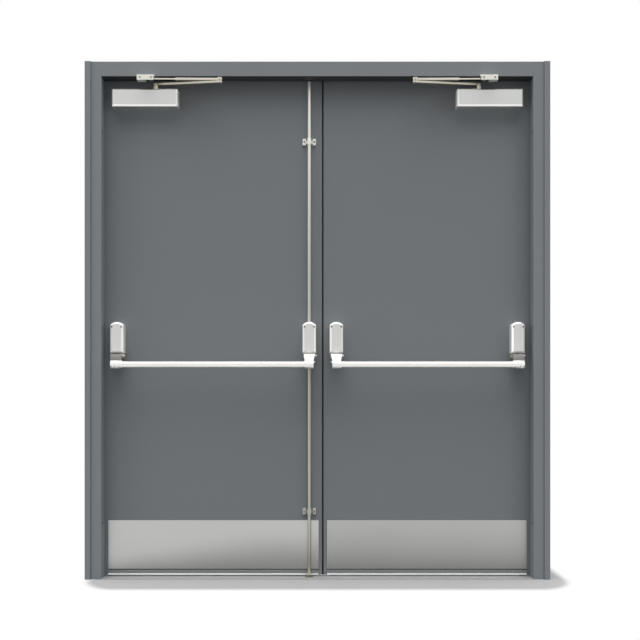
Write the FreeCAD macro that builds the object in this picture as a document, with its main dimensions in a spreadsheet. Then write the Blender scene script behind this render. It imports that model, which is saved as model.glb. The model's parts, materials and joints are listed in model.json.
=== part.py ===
"""Double steel utility door: a folded steel frame, two flush leaves on lift-off hinges, push bars that
draw a pair of vertical bolts, kick plates, bottom seals and overhead closers with folding arms.

X runs along the wall, Y from the push side to the pull side and Z up. The origin is under the
threshold, midway between the jambs, in the plane of the leaves' push face.
"""
import FreeCAD, Part
import os
import re
import Sketcher
from FreeCAD import Rotation, Vector

SIZES = {
    # frame
    "overall_width": (1890, "frame across the outer edges of its jambs"),
    "overall_height": (2105, "floor to the top of the head"),
    "jamb_face": (67, "width of a jamb seen from the push side"),
    "head_face": (60, "height of the head seen from the push side"),
    "frame_sheet": (2, "sheet that the frame is folded from"),
    "fold_radius": (1.5, "outside of the frame's folds"),
    "bead_width": (22, "raised bead along a jamb's outer edge"),
    "bead_rise": (6, "bead in front of the jamb's face"),
    "bead_slope": (4, "slanted side of the bead, across the face"),
    "reveal_depth": (60, "frame face to the leaves' push face"),
    "back_reveal": (5, "frame behind the leaves' pull face"),
    "stop_gap": (5, "stop to the leaves' push face"),
    "stop_lap": (15, "leaf behind the stop"),
    "edge_gap": (6, "leaf edge to the rebate"),
    "fixing_diameter": (16, "fixing holes in the jambs' reveals"),
    "fixing_inset": (16, "fixing holes behind the frame's face"),
    "fixing_low": (225, "lowest fixing hole above the floor"),
    "fixing_drop": (285, "highest fixing hole below the top of the head"),
    "threshold_sheet": (2, "threshold plate"),
    # leaves
    "leaf_thickness": (45, "leaf with both skins"),
    "skin": (1.5, "steel skin of a leaf"),
    "leaf_bottom": (9, "leaf above the floor"),
    "meeting_gap": (7, "between the two leaves"),
    "meeting_offset": (22, "middle of the meeting gap right of the frame's middle"),
    # hinges
    "hinge_height": (100, "hinge with both its knuckles"),
    "hinge_width": (34, "hinge plate let in from the pull face"),
    "hinge_plate": (2.5, "hinge plate"),
    "knuckle_radius": (7, "hinge knuckle"),
    "hinge_pin_radius": (3.5, "hinge pin"),
    "hinge_setback": (13, "hinge axis behind the pull face"),
    "hinge_low": (240, "middle of the lowest hinge above the floor"),
    "hinge_drop": (240, "middle of the highest hinge below the top of the leaf"),
    "knuckle_gap": (0.5, "between knuckles, along the pin"),
    "running_gap": (0.1, "round a pin that turns in its bore"),
    # plates and seals at the foot of a leaf
    "kick_height": (200, "kick plate"),
    "kick_bottom": (32, "kick plate above the floor"),
    "kick_margin": (14, "kick plate to the stop and to the meeting edge"),
    "kick_sheet": (1.5, "kick plate"),
    "seal_height": (8.5, "seal carrier"),
    "seal_depth": (6, "seal carrier in front of the leaf"),
    "seal_under": (5.5, "seal carrier under the kick plate"),
    "brush_depth": (3, "brush of the bottom seal, front to back"),
    "brush_height": (11, "brush below its carrier"),
    # closers
    "closer_inset": (39, "closer's outer end from the stop"),
    "closer_length": (268, "closer body"),
    "closer_height": (72, "closer body"),
    "closer_depth": (50, "closer body in front of the leaf"),
    "closer_drop": (45, "top of the closer body below the soffit"),
    "closer_bevel": (6, "bevelled front edges of the closer body"),
    "spindle_inset": (216, "closer spindle from the stop"),
    "spindle_off": (27, "closer spindle in front of the leaf"),
    "spindle_gap": (0.5, "spindle's turning part above the body"),
    "arm_width": (18, "closer's main arm"),
    "arm_thickness": (8, "closer's main arm"),
    "arm_drop": (20, "top of the main arm at the spindle below the soffit"),
    "main_fall": (10, "main arm's end at the elbow below its end at the spindle"),
    "arm_gap": (2, "main arm to forearm, and forearm to shoe"),
    "elbow_inset": (484, "elbow of the closer's arms from the stop"),
    "elbow_off": (90, "elbow in front of the leaf"),
    "eye_radius": (11, "closer spindle, and the eyes at the ends of the arms"),
    "fore_eye_height": (11, "eyes of the forearm"),
    "forearm_tube": (10, "thicker part of the forearm"),
    "forearm_rod": (6, "thinner part of the forearm"),
    "forearm_tube_length": (180, "thicker part of the forearm from the elbow"),
    "forearm_rise": (9, "forearm's end at the shoe above its end at the elbow"),
    "shoe_inset": (216, "shoe's inner end from the stop"),
    "shoe_length": (67, "closer shoe"),
    "shoe_depth": (28, "closer shoe in front of the frame's face"),
    "shoe_drop": (23.5, "foot of the shoe's apron below the soffit"),
    "shoe_top": (3.5, "shoe's top plate"),
    "shoe_lap": (9, "shoe's back plate above its top plate"),
    "shoe_sheet": (3, "shoe's apron and back plate"),
    "shoe_block": (34, "full-height end of the shoe"),
    "shoe_pivot_inset": (13, "shoe's pivot from its inner end"),
    "shoe_pivot_off": (70, "shoe's pivot in front of the leaf"),
    "shoe_pin_radius": (4, "shoe's pivot pin"),
    # push bars
    "lock_station_inset": (52, "housing nearest the meeting edge, its middle from that edge"),
    "hinge_station_inset": (58, "housing nearest the hinges, its middle from the stop"),
    "cover_width": (54, "cover of a housing"),
    "cover_over_pivot": (10, "cover above the bar's pivot"),
    "cover_height": (127, "cover with its arched top"),
    "cover_arch": (12, "rise of the arched top"),
    "cover_depth": (48, "cover in front of the leaf"),
    "cover_wall": (2.5, "cover's wall"),
    "cover_bevel": (7, "bevelled front edge of the cover"),
    "bracket_width": (48, "bracket's base plate"),
    "bracket_sheet": (4, "base plate and cheeks"),
    "bracket_inset": (8, "base plate below the top of the cover's straight sides"),
    "cheek_rise": (18, "cheeks up inside the cover"),
    "cheek_space": (26, "between a bracket's cheeks"),
    "cheek_radius": (8.5, "cheek round the pivot"),
    "pivot_height": (911, "bar's pivot above the floor"),
    "pivot_off": (36, "bar's pivot in front of the leaf"),
    "pivot_radius": (4, "bar's pivot pin"),
    "hub_radius": (8, "arm's hub on the pivot, to its flats"),
    "hub_gap": (0.5, "hub to a cheek"),
    "hood_start": (9, "hood of the arm nearest the meeting edge, from the pivot"),
    "hood_rise": (13, "top of the hood above the line from the pivot to the bar"),
    "hood_sheet": (6, "hood"),
    "hood_wide": (46, "hood at its pivot end"),
    "hood_narrow": (33, "hood at the bar"),
    "lever_under": (5, "arm below the line from the pivot to the bar"),
    "yoke_width": (46, "yoke of the arm nearest the hinges"),
    "yoke_sheet": (6, "yoke"),
    "yoke_gap": (5, "yoke to the cheeks and to the cover"),
    "reach_height": (16, "arm from the yoke to the bar"),
    "collar_radius": (14.5, "collar on the bar beside the sleeve nearest the hinges"),
    "collar_length": (16, "collar on the bar beside the sleeve nearest the hinges"),
    "bar_diameter": (26, "push bar"),
    "bar_wall": (2, "wall of the push bar's tube"),
    "bar_drop": (39, "push bar below its pivot"),
    "bar_off": (102, "push bar in front of the leaf"),
    "sleeve_radius": (16.5, "sleeves of the arms round the ends of the bar"),
    "sleeve_length": (36, "sleeve of the arm nearest the meeting edge"),
    "yoke_sleeve_length": (31, "sleeve of the arm nearest the hinges"),
    "yoke_sleeve_shift": (6, "that sleeve's middle from its housing's, towards the meeting edge"),
    # vertical bolts
    "rod_diameter": (13, "bolt rods"),
    "rod_off": (15, "bolt rods in front of the leaf"),
    "rod_tip_gap": (4, "rods' tips to their keeps"),
    "rod_entry": (40, "top rod inside its cover"),
    "rod_foot_entry": (12, "bottom rod inside its cover"),
    "rod_play": (0.3, "round a rod in its guide"),
    "keep_sheet": (2, "bolt keeps"),
    "keep_size": (36, "bolt keeps, across and in front of the rod"),
    "keep_hole": (16, "square hole of a keep"),
    "guide_width": (55, "rod guide"),
    "guide_height": (27, "rod guide"),
    "guide_foot": (3, "strap of a rod guide on the leaf"),
    "guide_strap": (12, "strap of a rod guide, up and down"),
    "guide_wall": (2, "guide round its rod"),
    "guide_lug": (14, "screw lugs of a rod guide, across"),
    "guide_lug_rise": (8, "screw lugs in front of the leaf"),
    "guide_lug_bevel": (2.5, "bevelled edges of a screw lug"),
    "guide_low": (269, "lower guide above the floor"),
    "guide_drop": (252, "upper guide below the soffit"),
}

HINGES_PER_LEAF = 2
FIXINGS_PER_JAMB = 3
RIGHT = 1
LEFT = -1
SIDE_NAMES = {LEFT: "left", RIGHT: "right"}

# Places worked out from the sizes. A name that ends in _u is measured outwards from the frame's
# middle, so it holds for both sides.
STOP_U = "(overall_width / 2 - jamb_face)"
LEAF_EDGE_U = f"({STOP_U} + stop_lap)"
REBATE_U = f"({LEAF_EDGE_U} + edge_gap)"
HINGE_U = f"({LEAF_EDGE_U} + edge_gap / 2)"
HINGE_Y = "(leaf_thickness + hinge_setback)"
FRAME_BACK = "(leaf_thickness + back_reveal)"
SOFFIT = "(overall_height - head_face)"
LEAF_TOP = f"({SOFFIT} + stop_lap)"
REBATE_TOP = f"({LEAF_TOP} + edge_gap)"
FIXING_PITCH = f"((overall_height - fixing_low - fixing_drop) / {FIXINGS_PER_JAMB - 1})"
HINGE_PITCH = f"(({LEAF_TOP} - hinge_low - hinge_drop) / {HINGES_PER_LEAF - 1})"
CLOSER_TOP = f"({SOFFIT} - closer_drop)"
ARM_BOTTOM = f"({SOFFIT} - arm_drop - arm_thickness)"
FOREARM_BOTTOM = f"({SOFFIT} - arm_drop - main_fall + arm_gap)"
CLOSER_OUTER_U = f"({STOP_U} - closer_inset)"
SPINDLE_U = f"({STOP_U} - spindle_inset)"
ELBOW_U = f"({STOP_U} - elbow_inset)"
SHOE_U = f"({STOP_U} - shoe_inset)"
SHOE_PIVOT_U = f"({SHOE_U} + shoe_pivot_inset)"
SHOE_PLATE_LOW = f"({FOREARM_BOTTOM} + forearm_rise + fore_eye_height + arm_gap)"
CHEEK_OUT = "(cheek_space / 2 + bracket_sheet)"
COVER_BOTTOM = "(pivot_height + cover_over_pivot)"
BAR_HEIGHT = "(pivot_height - bar_drop)"
LEVER_LENGTH = "sqrt((bar_off - pivot_off)^2 + bar_drop^2)"
LEVER_ANGLE = "atan2(-bar_drop; pivot_off - bar_off)"
HUB_HALF = "(cheek_space / 2 - hub_gap)"

ALONG = {
    "X": Rotation(Vector(0, 1, 0), 90),
    "Y": Rotation(Vector(1, 0, 0), -90),
    "Z": Rotation(),
}

doc = FreeCAD.newDocument("steel_utility_door")
sheet = doc.addObject("Spreadsheet::Sheet", "Dims")
nodes = []


def fill_sheet():
    """Write every driving size to the sheet, with its note and its alias."""
    for row, (alias, (value, note)) in enumerate(SIZES.items(), start=1):
        sheet.set(f"A{row}", note)
        sheet.set(f"B{row}", str(value))
        sheet.setAlias(f"B{row}", alias)
    doc.recompute()


def bound(text):
    """The expression with each size's name pointed at its cell."""
    return re.sub(r"[a-z]\w*", lambda m: f"Dims.{m[0]}" if m[0] in SIZES else m[0], str(text))


def value(text):
    """The number that an expression has now."""
    return float(sheet.evalExpression(bound(text)))


def bind(obj, **expressions):
    """Bind properties of an object to expressions."""
    for name, text in expressions.items():
        obj.setExpression(name, bound(text))
    return obj


def place(obj, x="0", y="0", z="0", rotation=None, angle=None):
    """Put an object at a place worked out from the sizes, turned by a rotation or a bound angle."""
    if rotation is not None:
        obj.Placement.Rotation = rotation
    for axis, text in (("x", x), ("y", y), ("z", z)):
        obj.setExpression(f"Placement.Base.{axis}", bound(text))
    if angle is not None:
        obj.setExpression("Placement.Rotation.Angle", bound(angle))
    return obj


def outwards(side, low, high):
    """The start along X of what runs from low to high outwards from the middle, and its length."""
    start = low if side == RIGHT else f"-({high})"
    return start, f"({high}) - ({low})"


def across(side, u):
    """The X of a place that is measured outwards from the middle."""
    return f"{side} * ({u})"


def box(name, x, y, z):
    """A block from (low, high) along each axis."""
    block = doc.addObject("Part::Box", name)
    bind(
        block,
        Length=f"({x[1]}) - ({x[0]})",
        Width=f"({y[1]}) - ({y[0]})",
        Height=f"({z[1]}) - ({z[0]})",
    )
    return place(block, x[0], y[0], z[0])


def side_box(name, side, u, y, z):
    """A block whose X is given outwards from the middle."""
    start, length = outwards(side, *u)
    return box(name, (start, f"({start}) + {length}"), y, z)


def cylinder(name, radius, length, x, y, z, along="Z"):
    """A round bar that starts at a point and runs along an axis."""
    bar = doc.addObject("Part::Cylinder", name)
    bind(bar, Radius=radius, Height=length)
    return place(bar, x, y, z, ALONG[along])


def octagon(name, half, length, x, y, z, along="Z"):
    """An eight-sided bar, half as wide as given from flat to flat, that starts at a point."""
    bar = doc.addObject("Part::Prism", name)
    bar.Polygon = 8
    bind(bar, Circumradius=f"{half} / cos(22.5)", Height=length)
    return place(bar, x, y, z, ALONG[along])


def fuse(name, shapes):
    """One solid of several that meet."""
    joined = doc.addObject("Part::MultiFuse", name)
    joined.Shapes = shapes
    return joined


def cut(name, base, tool):
    """A solid with another taken out of it."""
    result = doc.addObject("Part::Cut", name)
    result.Base = base
    result.Tool = tool
    return result


def group(name, shapes):
    """Several solids of one kind that don't touch, kept as one sub-part."""
    compound = doc.addObject("Part::Compound", name)
    compound.Links = shapes
    return compound


def node(obj, label):
    """Name a finished sub-part."""
    obj.Label = label
    nodes.append(obj)
    return obj


def outline(body, name, plane, points, arch=None):
    """A closed sketch through points given as pairs of expressions.

    With arch, the side that starts at that point is an arc of the given radius about x = 0.
    """
    sketch = body.newObject("Sketcher::SketchObject", name)
    support = next(f for f in body.Origin.OriginFeatures if f.Role == plane)
    sketch.AttachmentSupport = [(support, "")]
    sketch.MapMode = "FlatFace"
    places = [Vector(value(x), value(y), 0) for x, y in points]
    last = len(points) - 1
    for i, start in enumerate(places):
        end = places[0 if i == last else i + 1]
        if arch and arch[0] == i:
            radius = value(arch[1])
            drop = (radius**2 - start.x**2) ** 0.5
            crown = Vector(0, start.y - drop + radius, 0)
            sketch.addGeometry(Part.Arc(start, crown, end), False)
        else:
            sketch.addGeometry(Part.LineSegment(start, end), False)
    for i in range(len(points)):
        sketch.addConstraint(Sketcher.Constraint("Coincident", i, 2, 0 if i == last else i + 1, 1))
    for i, (x, y) in enumerate(points):
        for kind, text in (("DistanceX", x), ("DistanceY", y)):
            index = sketch.addConstraint(Sketcher.Constraint(kind, -1, 1, i, 1, value(text)))
            sketch.setExpression(f"Constraints[{index}]", bound(text))
    if arch:
        index = sketch.addConstraint(Sketcher.Constraint("Radius", arch[0], value(arch[1])))
        sketch.setExpression(f"Constraints[{index}]", bound(arch[1]))
    return sketch


def pad(body, name, sketch, length, midplane=False):
    """Extrude a sketch along its plane's normal."""
    feature = body.newObject("PartDesign::Pad", name)
    feature.Profile = sketch
    feature.Midplane = midplane
    bind(feature, Length=length)
    return feature


def pocket(body, name, sketch, depth):
    """Cut a sketch into the body along its plane's normal."""
    before = body.Shape.Volume
    feature = body.newObject("PartDesign::Pocket", name)
    feature.Profile = sketch
    feature.Reversed = True
    bind(feature, Length=depth)
    doc.recompute()
    if not body.Shape.Volume < before:
        raise RuntimeError(f"{name} cuts nothing")
    return feature


def round_folds(body, name, solid, axes, points):
    """Round the long edges of a folded section that start at the given points of its sketch."""
    doc.recompute()
    places = [(value(a), value(b)) for a, b in points]

    def follows(edge, place):
        corners = [(getattr(v.Point, axes[0]), getattr(v.Point, axes[1])) for v in edge.Vertexes]
        return all(abs(a - place[0]) + abs(b - place[1]) < 1e-6 for a, b in corners)

    edges = [
        f"Edge{i}"
        for i, edge in enumerate(solid.Shape.Edges, start=1)
        if any(follows(edge, place) for place in places)
    ]
    fillet = body.newObject("PartDesign::Fillet", name)
    fillet.Base = (solid, edges)
    bind(fillet, Radius="fold_radius")
    return fillet


def bevelled_pad(body, name, sketch, depth, size):
    """Extrude a sketch to the front and bevel all edges of its front face."""
    solid = pad(body, f"{name}_pad", sketch, depth)
    doc.recompute()
    front = next(
        f"Face{i}"
        for i, face in enumerate(solid.Shape.Faces, start=1)
        if abs(face.CenterOfMass.y + value(depth)) < 1e-6
    )
    bevel = body.newObject("PartDesign::Chamfer", f"{name}_bevel")
    bevel.Base = (solid, [front])
    bind(bevel, Size=size)
    doc.recompute()
    return bevel


def shell(body, name, solid, wall):
    """Hollow a padded sketch from its back, which stays open."""
    doc.recompute()
    back = next(
        f"Face{i}" for i, face in enumerate(solid.Shape.Faces, start=1) if abs(face.CenterOfMass.y) < 1e-6
    )
    hollow = body.newObject("PartDesign::Thickness", f"{name}_hollow")
    hollow.Base = (solid, [back])
    hollow.Mode = "Skin"
    hollow.Join = "Intersection"
    hollow.Reversed = True
    bind(hollow, Value=wall)
    doc.recompute()
    if not 0 < body.Shape.Volume < solid.Shape.Volume:
        raise RuntimeError(f"{name} is not hollow")
    return hollow


def jamb(side):
    """A folded jamb: bead, face, reveal, stop and rebate, open towards the wall."""
    name = f"{SIDE_NAMES[side]}_jamb"
    half = "overall_width / 2"
    body = doc.addObject("PartDesign::Body", f"{name}_body")
    outer = [
        (half, "-reveal_depth - bead_rise"),
        (f"{half} - bead_width", "-reveal_depth - bead_rise"),
        (f"{half} - bead_width - bead_slope", "-reveal_depth"),
        (STOP_U, "-reveal_depth"),
        (STOP_U, "-stop_gap"),
        (REBATE_U, "-stop_gap"),
        (REBATE_U, FRAME_BACK),
        (half, FRAME_BACK),
    ]
    inner = [
        (half, f"{FRAME_BACK} - frame_sheet"),
        (f"{REBATE_U} + frame_sheet", f"{FRAME_BACK} - frame_sheet"),
        (f"{REBATE_U} + frame_sheet", "-stop_gap - frame_sheet"),
        (f"{STOP_U} + frame_sheet", "-stop_gap - frame_sheet"),
        (f"{STOP_U} + frame_sheet", "-reveal_depth + frame_sheet"),
        (f"{half} - bead_width - bead_slope + frame_sheet / 2", "-reveal_depth + frame_sheet"),
        (f"{half} - bead_width + frame_sheet / 2", "-reveal_depth - bead_rise + frame_sheet"),
        (half, "-reveal_depth - bead_rise + frame_sheet"),
    ]
    points = [(across(side, u), y) for u, y in outer + inner]
    section = outline(body, f"{name}_section", "XY_Plane", points)
    profile = pad(body, f"{name}_pad", section, "overall_height")
    round_folds(body, f"{name}_folds", profile, "xy", [points[i] for i in (1, 3, 4, 6)])
    holes = [
        cylinder(
            f"{name}_fixing_{i}",
            "fixing_diameter / 2",
            "3 * frame_sheet",
            f"{across(side, STOP_U)} - frame_sheet * {2 if side == LEFT else 1}",
            "-reveal_depth + fixing_inset",
            f"fixing_low + {i} * {FIXING_PITCH}",
            "X",
        )
        for i in range(FIXINGS_PER_JAMB)
    ]
    node(cut(f"{name}_drilled", body, group(f"{name}_fixings", holes)), name)


def head():
    """The folded head: its stop channel between the jambs' reveals, its rebate between their rebates."""
    body = doc.addObject("PartDesign::Body", "frame_head_body")
    stop = [
        ("-reveal_depth", SOFFIT),
        ("-stop_gap", SOFFIT),
        ("-stop_gap", f"{REBATE_TOP} + frame_sheet"),
        ("-stop_gap - frame_sheet", f"{REBATE_TOP} + frame_sheet"),
        ("-stop_gap - frame_sheet", f"{SOFFIT} + frame_sheet"),
        ("-reveal_depth + frame_sheet", f"{SOFFIT} + frame_sheet"),
        ("-reveal_depth + frame_sheet", "overall_height"),
        ("-reveal_depth", "overall_height"),
    ]
    rebate = [
        ("-stop_gap", REBATE_TOP),
        (FRAME_BACK, REBATE_TOP),
        (FRAME_BACK, "overall_height"),
        (f"{FRAME_BACK} - frame_sheet", "overall_height"),
        (f"{FRAME_BACK} - frame_sheet", f"{REBATE_TOP} + frame_sheet"),
        ("-stop_gap", f"{REBATE_TOP} + frame_sheet"),
    ]
    stop_sketch = outline(body, "head_stop_section", "YZ_Plane", stop)
    pad(body, "head_stop", stop_sketch, f"2 * {STOP_U}", midplane=True)
    rebate_sketch = outline(body, "head_rebate_section", "YZ_Plane", rebate)
    profile = pad(body, "head_rebate", rebate_sketch, f"2 * {REBATE_U}", midplane=True)
    round_folds(body, "head_folds", profile, "yz", [stop[0], stop[1], rebate[1]])
    node(body, "frame_head")


def threshold():
    """A thin plate on the floor from reveal to reveal."""
    plate = box(
        "threshold", (f"-{STOP_U}", STOP_U), ("-reveal_depth", FRAME_BACK), ("0", "threshold_sheet")
    )
    node(plate, "threshold_plate")


def meeting_edge(side):
    """The leaf's meeting edge, measured outwards on its own side."""
    return f"(meeting_gap / 2 + {side} * meeting_offset)"


def leaf(side):
    """A flush leaf: a push skin folded back round all four edges, a core in it, and a flat pull skin."""
    name = SIDE_NAMES[side]
    start, length = outwards(side, meeting_edge(side), LEAF_EDGE_U)
    height = f"{LEAF_TOP} - leaf_bottom"
    body = doc.addObject("PartDesign::Body", f"{name}_push_tray")
    corners = [("0", "0"), (length, "0"), (length, height), ("0", height)]
    sketch = outline(body, f"{name}_push_outline", "XZ_Plane", corners)
    shell(body, f"{name}_push", pad(body, f"{name}_push_pad", sketch, "leaf_thickness - skin"), "skin")
    place(body, start, "leaf_thickness - skin", "leaf_bottom")
    node(body, f"{name}_push_skin")
    u = (meeting_edge(side), LEAF_EDGE_U)
    core_u = (f"{u[0]} + skin", f"{u[1]} - skin")
    core_z = ("leaf_bottom + skin", f"{LEAF_TOP} - skin")
    back = "leaf_thickness - skin"
    node(side_box(f"{name}_core", side, core_u, ("skin", back), core_z), f"{name}_leaf_core")
    z = ("leaf_bottom", LEAF_TOP)
    node(side_box(f"{name}_pull_sheet", side, u, (back, "leaf_thickness"), z), f"{name}_pull_skin")


def hinge_halves(side):
    """Lift-off hinges: a frame half has the lower knuckle and the pin, a leaf half the upper knuckle."""
    name = SIDE_NAMES[side]
    x = across(side, HINGE_U)
    half = "(hinge_height / 2)"
    plate_y = ("leaf_thickness - hinge_width", f"{HINGE_Y} - knuckle_radius - knuckle_gap")
    neck_y = (plate_y[1], HINGE_Y)
    frame_u = (f"{REBATE_U} - hinge_plate", REBATE_U)
    leaf_u = (LEAF_EDGE_U, f"{LEAF_EDGE_U} + hinge_plate")
    frame_halves = []
    leaf_halves = []
    for i in range(HINGES_PER_LEAF):
        tag = f"{name}_hinge_{i}"
        middle = f"(hinge_low + {i} * {HINGE_PITCH})"
        low = f"({middle} - {half})"
        high = f"({middle} + {half})"
        frame_parts = [
            side_box(f"{tag}_frame_plate", side, frame_u, plate_y, (low, high)),
            side_box(f"{tag}_frame_neck", side, frame_u, neck_y, (low, middle)),
            cylinder(f"{tag}_lower_knuckle", "knuckle_radius", half, x, HINGE_Y, low),
            cylinder(f"{tag}_pin", "hinge_pin_radius", f"1.8 * {half}", x, HINGE_Y, low),
        ]
        frame_halves.append(fuse(f"{tag}_frame_half", frame_parts))
        upper = f"({middle} + knuckle_gap)"
        leaf_parts = [
            side_box(f"{tag}_leaf_plate", side, leaf_u, plate_y, (low, high)),
            side_box(f"{tag}_leaf_neck", side, leaf_u, neck_y, (upper, high)),
            cylinder(f"{tag}_upper_knuckle", "knuckle_radius", f"{high} - {upper}", x, HINGE_Y, upper),
        ]
        bore = cylinder(
            f"{tag}_bore", "hinge_pin_radius + running_gap", f"0.9 * {half}", x, HINGE_Y, middle
        )
        leaf_halves.append(cut(f"{tag}_leaf_half", fuse(f"{tag}_leaf_solid", leaf_parts), bore))
    node(group(f"{name}_frame_halves", frame_halves), f"{name}_frame_hinges")
    node(group(f"{name}_leaf_halves", leaf_halves), f"{name}_leaf_hinges")


def leaf_foot(side):
    """Kick plate, and under it the bottom seal's carrier and brush."""
    name = SIDE_NAMES[side]
    u = (f"{meeting_edge(side)} + kick_margin", f"{STOP_U} - kick_margin")
    kick = side_box(
        f"{name}_kick", side, u, ("-kick_sheet", "0"), ("kick_bottom", "kick_bottom + kick_height")
    )
    node(kick, f"{name}_kick_plate")
    seal_top = "(kick_bottom - seal_under)"
    seal_low = f"({seal_top} - seal_height)"
    carrier = side_box(f"{name}_carrier", side, u, ("-seal_depth", "0"), (seal_low, seal_top))
    node(carrier, f"{name}_seal_carrier")
    middle = "-seal_depth / 2"
    brush = side_box(
        f"{name}_brush",
        side,
        u,
        (f"{middle} - brush_depth / 2", f"{middle} + brush_depth / 2"),
        (f"{seal_low} - brush_height", seal_low),
    )
    node(brush, f"{name}_seal_brush")


def closer_body(side):
    """The closer's case, with all its front edges bevelled."""
    name = f"{SIDE_NAMES[side]}_closer_body"
    body = doc.addObject("PartDesign::Body", f"{name}_case")
    front = [
        ("0", "-closer_height"),
        ("closer_length", "-closer_height"),
        ("closer_length", "0"),
        ("0", "0"),
    ]
    sketch = outline(body, f"{name}_front", "XZ_Plane", front)
    bevelled_pad(body, name, sketch, "closer_depth", "closer_bevel")
    start, _ = outwards(side, f"{CLOSER_OUTER_U} - closer_length", CLOSER_OUTER_U)
    place(body, start, "0", CLOSER_TOP)
    node(body, name)


def closer_arms(side):
    """Main arm on the closer's spindle, and forearm from the shoe down to the elbow."""
    name = SIDE_NAMES[side]
    spindle_x = across(side, SPINDLE_U)
    main_length = f"sqrt(({SPINDLE_U} - {ELBOW_U})^2 + (elbow_off - spindle_off)^2)"
    main_turn = f"atan2(spindle_off - elbow_off; {side} * ({ELBOW_U} - {SPINDLE_U}))"
    main_bar = doc.addObject("PartDesign::Body", f"{name}_main_bar")
    profile = [
        ("0", "0"),
        (main_length, "-main_fall"),
        (main_length, "arm_thickness - main_fall"),
        ("0", "arm_thickness"),
    ]
    sketch = outline(main_bar, f"{name}_main_profile", "XZ_Plane", profile)
    pad(main_bar, f"{name}_main_pad", sketch, "arm_width", midplane=True)
    spindle_low = f"({CLOSER_TOP} + spindle_gap - {ARM_BOTTOM})"
    main_parts = [
        cylinder(f"{name}_spindle", "eye_radius", f"arm_thickness - {spindle_low}", "0", "0", spindle_low),
        main_bar,
        cylinder(f"{name}_elbow_eye", "eye_radius", "arm_thickness", main_length, "0", "-main_fall"),
    ]
    main_arm = fuse(f"{name}_main_arm", main_parts)
    place(main_arm, spindle_x, "-spindle_off", ARM_BOTTOM, angle=main_turn)
    node(main_arm, f"{name}_closer_main_arm")

    fore_length = f"sqrt(({SHOE_PIVOT_U} - {ELBOW_U})^2 + (elbow_off - shoe_pivot_off)^2)"
    fore_turn = f"atan2(shoe_pivot_off - elbow_off; {side} * ({ELBOW_U} - {SHOE_PIVOT_U}))"

    def rod(label, diameter, low, high):
        fall = f"atan(forearm_rise / {fore_length})"
        bar = doc.addObject("Part::Cylinder", f"{name}_{label}")
        bind(bar, Radius=f"{diameter} / 2", Height=f"({high} - {low}) / cos({fall})")
        centre = f"fore_eye_height / 2 + forearm_rise * (1 - {low} / {fore_length})"
        return place(bar, low, "0", centre, ALONG["X"], f"90 deg + {fall}")

    tube_start = f"({fore_length} - forearm_tube_length)"
    pivot_eye = cut(
        f"{name}_pivot_eye",
        octagon(f"{name}_pivot_block", "eye_radius", "fore_eye_height", "0", "0", "forearm_rise"),
        cylinder(
            f"{name}_pivot_bore", "shoe_pin_radius + running_gap", "fore_eye_height", "0", "0", "forearm_rise"
        ),
    )
    fore_parts = [
        pivot_eye,
        rod("fore_rod", "forearm_rod", "(eye_radius / 2)", tube_start),
        rod("fore_tube", "forearm_tube", tube_start, fore_length),
        cylinder(f"{name}_fore_eye", "eye_radius", "fore_eye_height", fore_length, "0", "0"),
    ]
    forearm = fuse(f"{name}_forearm", fore_parts)
    place(forearm, across(side, SHOE_PIVOT_U), "-shoe_pivot_off", FOREARM_BOTTOM, angle=fore_turn)
    node(forearm, f"{name}_closer_forearm")


def closer_shoe(side):
    """The shoe on the head's face: a bent plate with an apron, a solid outer end and the forearm's pin."""
    name = SIDE_NAMES[side]
    front = "(-reveal_depth - shoe_depth)"
    foot = f"({SOFFIT} - shoe_drop)"
    top = f"({SHOE_PLATE_LOW} + shoe_top)"
    section = [
        (front, foot),
        (f"{front} + shoe_sheet", foot),
        (f"{front} + shoe_sheet", SHOE_PLATE_LOW),
        ("-reveal_depth", SHOE_PLATE_LOW),
        ("-reveal_depth", f"{top} + shoe_lap"),
        ("-reveal_depth - shoe_sheet", f"{top} + shoe_lap"),
        ("-reveal_depth - shoe_sheet", top),
        (front, top),
    ]
    body = doc.addObject("PartDesign::Body", f"{name}_shoe_plate")
    pad(body, f"{name}_shoe_pad", outline(body, f"{name}_shoe_section", "YZ_Plane", section), "shoe_length")
    start, _ = outwards(side, SHOE_U, f"{SHOE_U} + shoe_length")
    place(body, start)
    outer_u = (f"{SHOE_U} + shoe_length - shoe_block", f"{SHOE_U} + shoe_length")
    block = side_box(
        f"{name}_shoe_block", side, outer_u, (front, "-reveal_depth"), (foot, SHOE_PLATE_LOW)
    )
    pin_low = f"({FOREARM_BOTTOM} + forearm_rise)"
    pin = cylinder(
        f"{name}_shoe_pin",
        "shoe_pin_radius",
        f"{SHOE_PLATE_LOW} - {pin_low}",
        across(side, SHOE_PIVOT_U),
        "-shoe_pivot_off",
        pin_low,
    )
    node(fuse(f"{name}_shoe", [body, block, pin]), f"{name}_closer_shoe")


def stations(side):
    """Where the housings of a leaf's push bar are, outwards from the middle."""
    return {
        "hinge_side": f"({STOP_U} - hinge_station_inset)",
        "lock_side": f"({meeting_edge(side)} + lock_station_inset)",
    }


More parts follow.
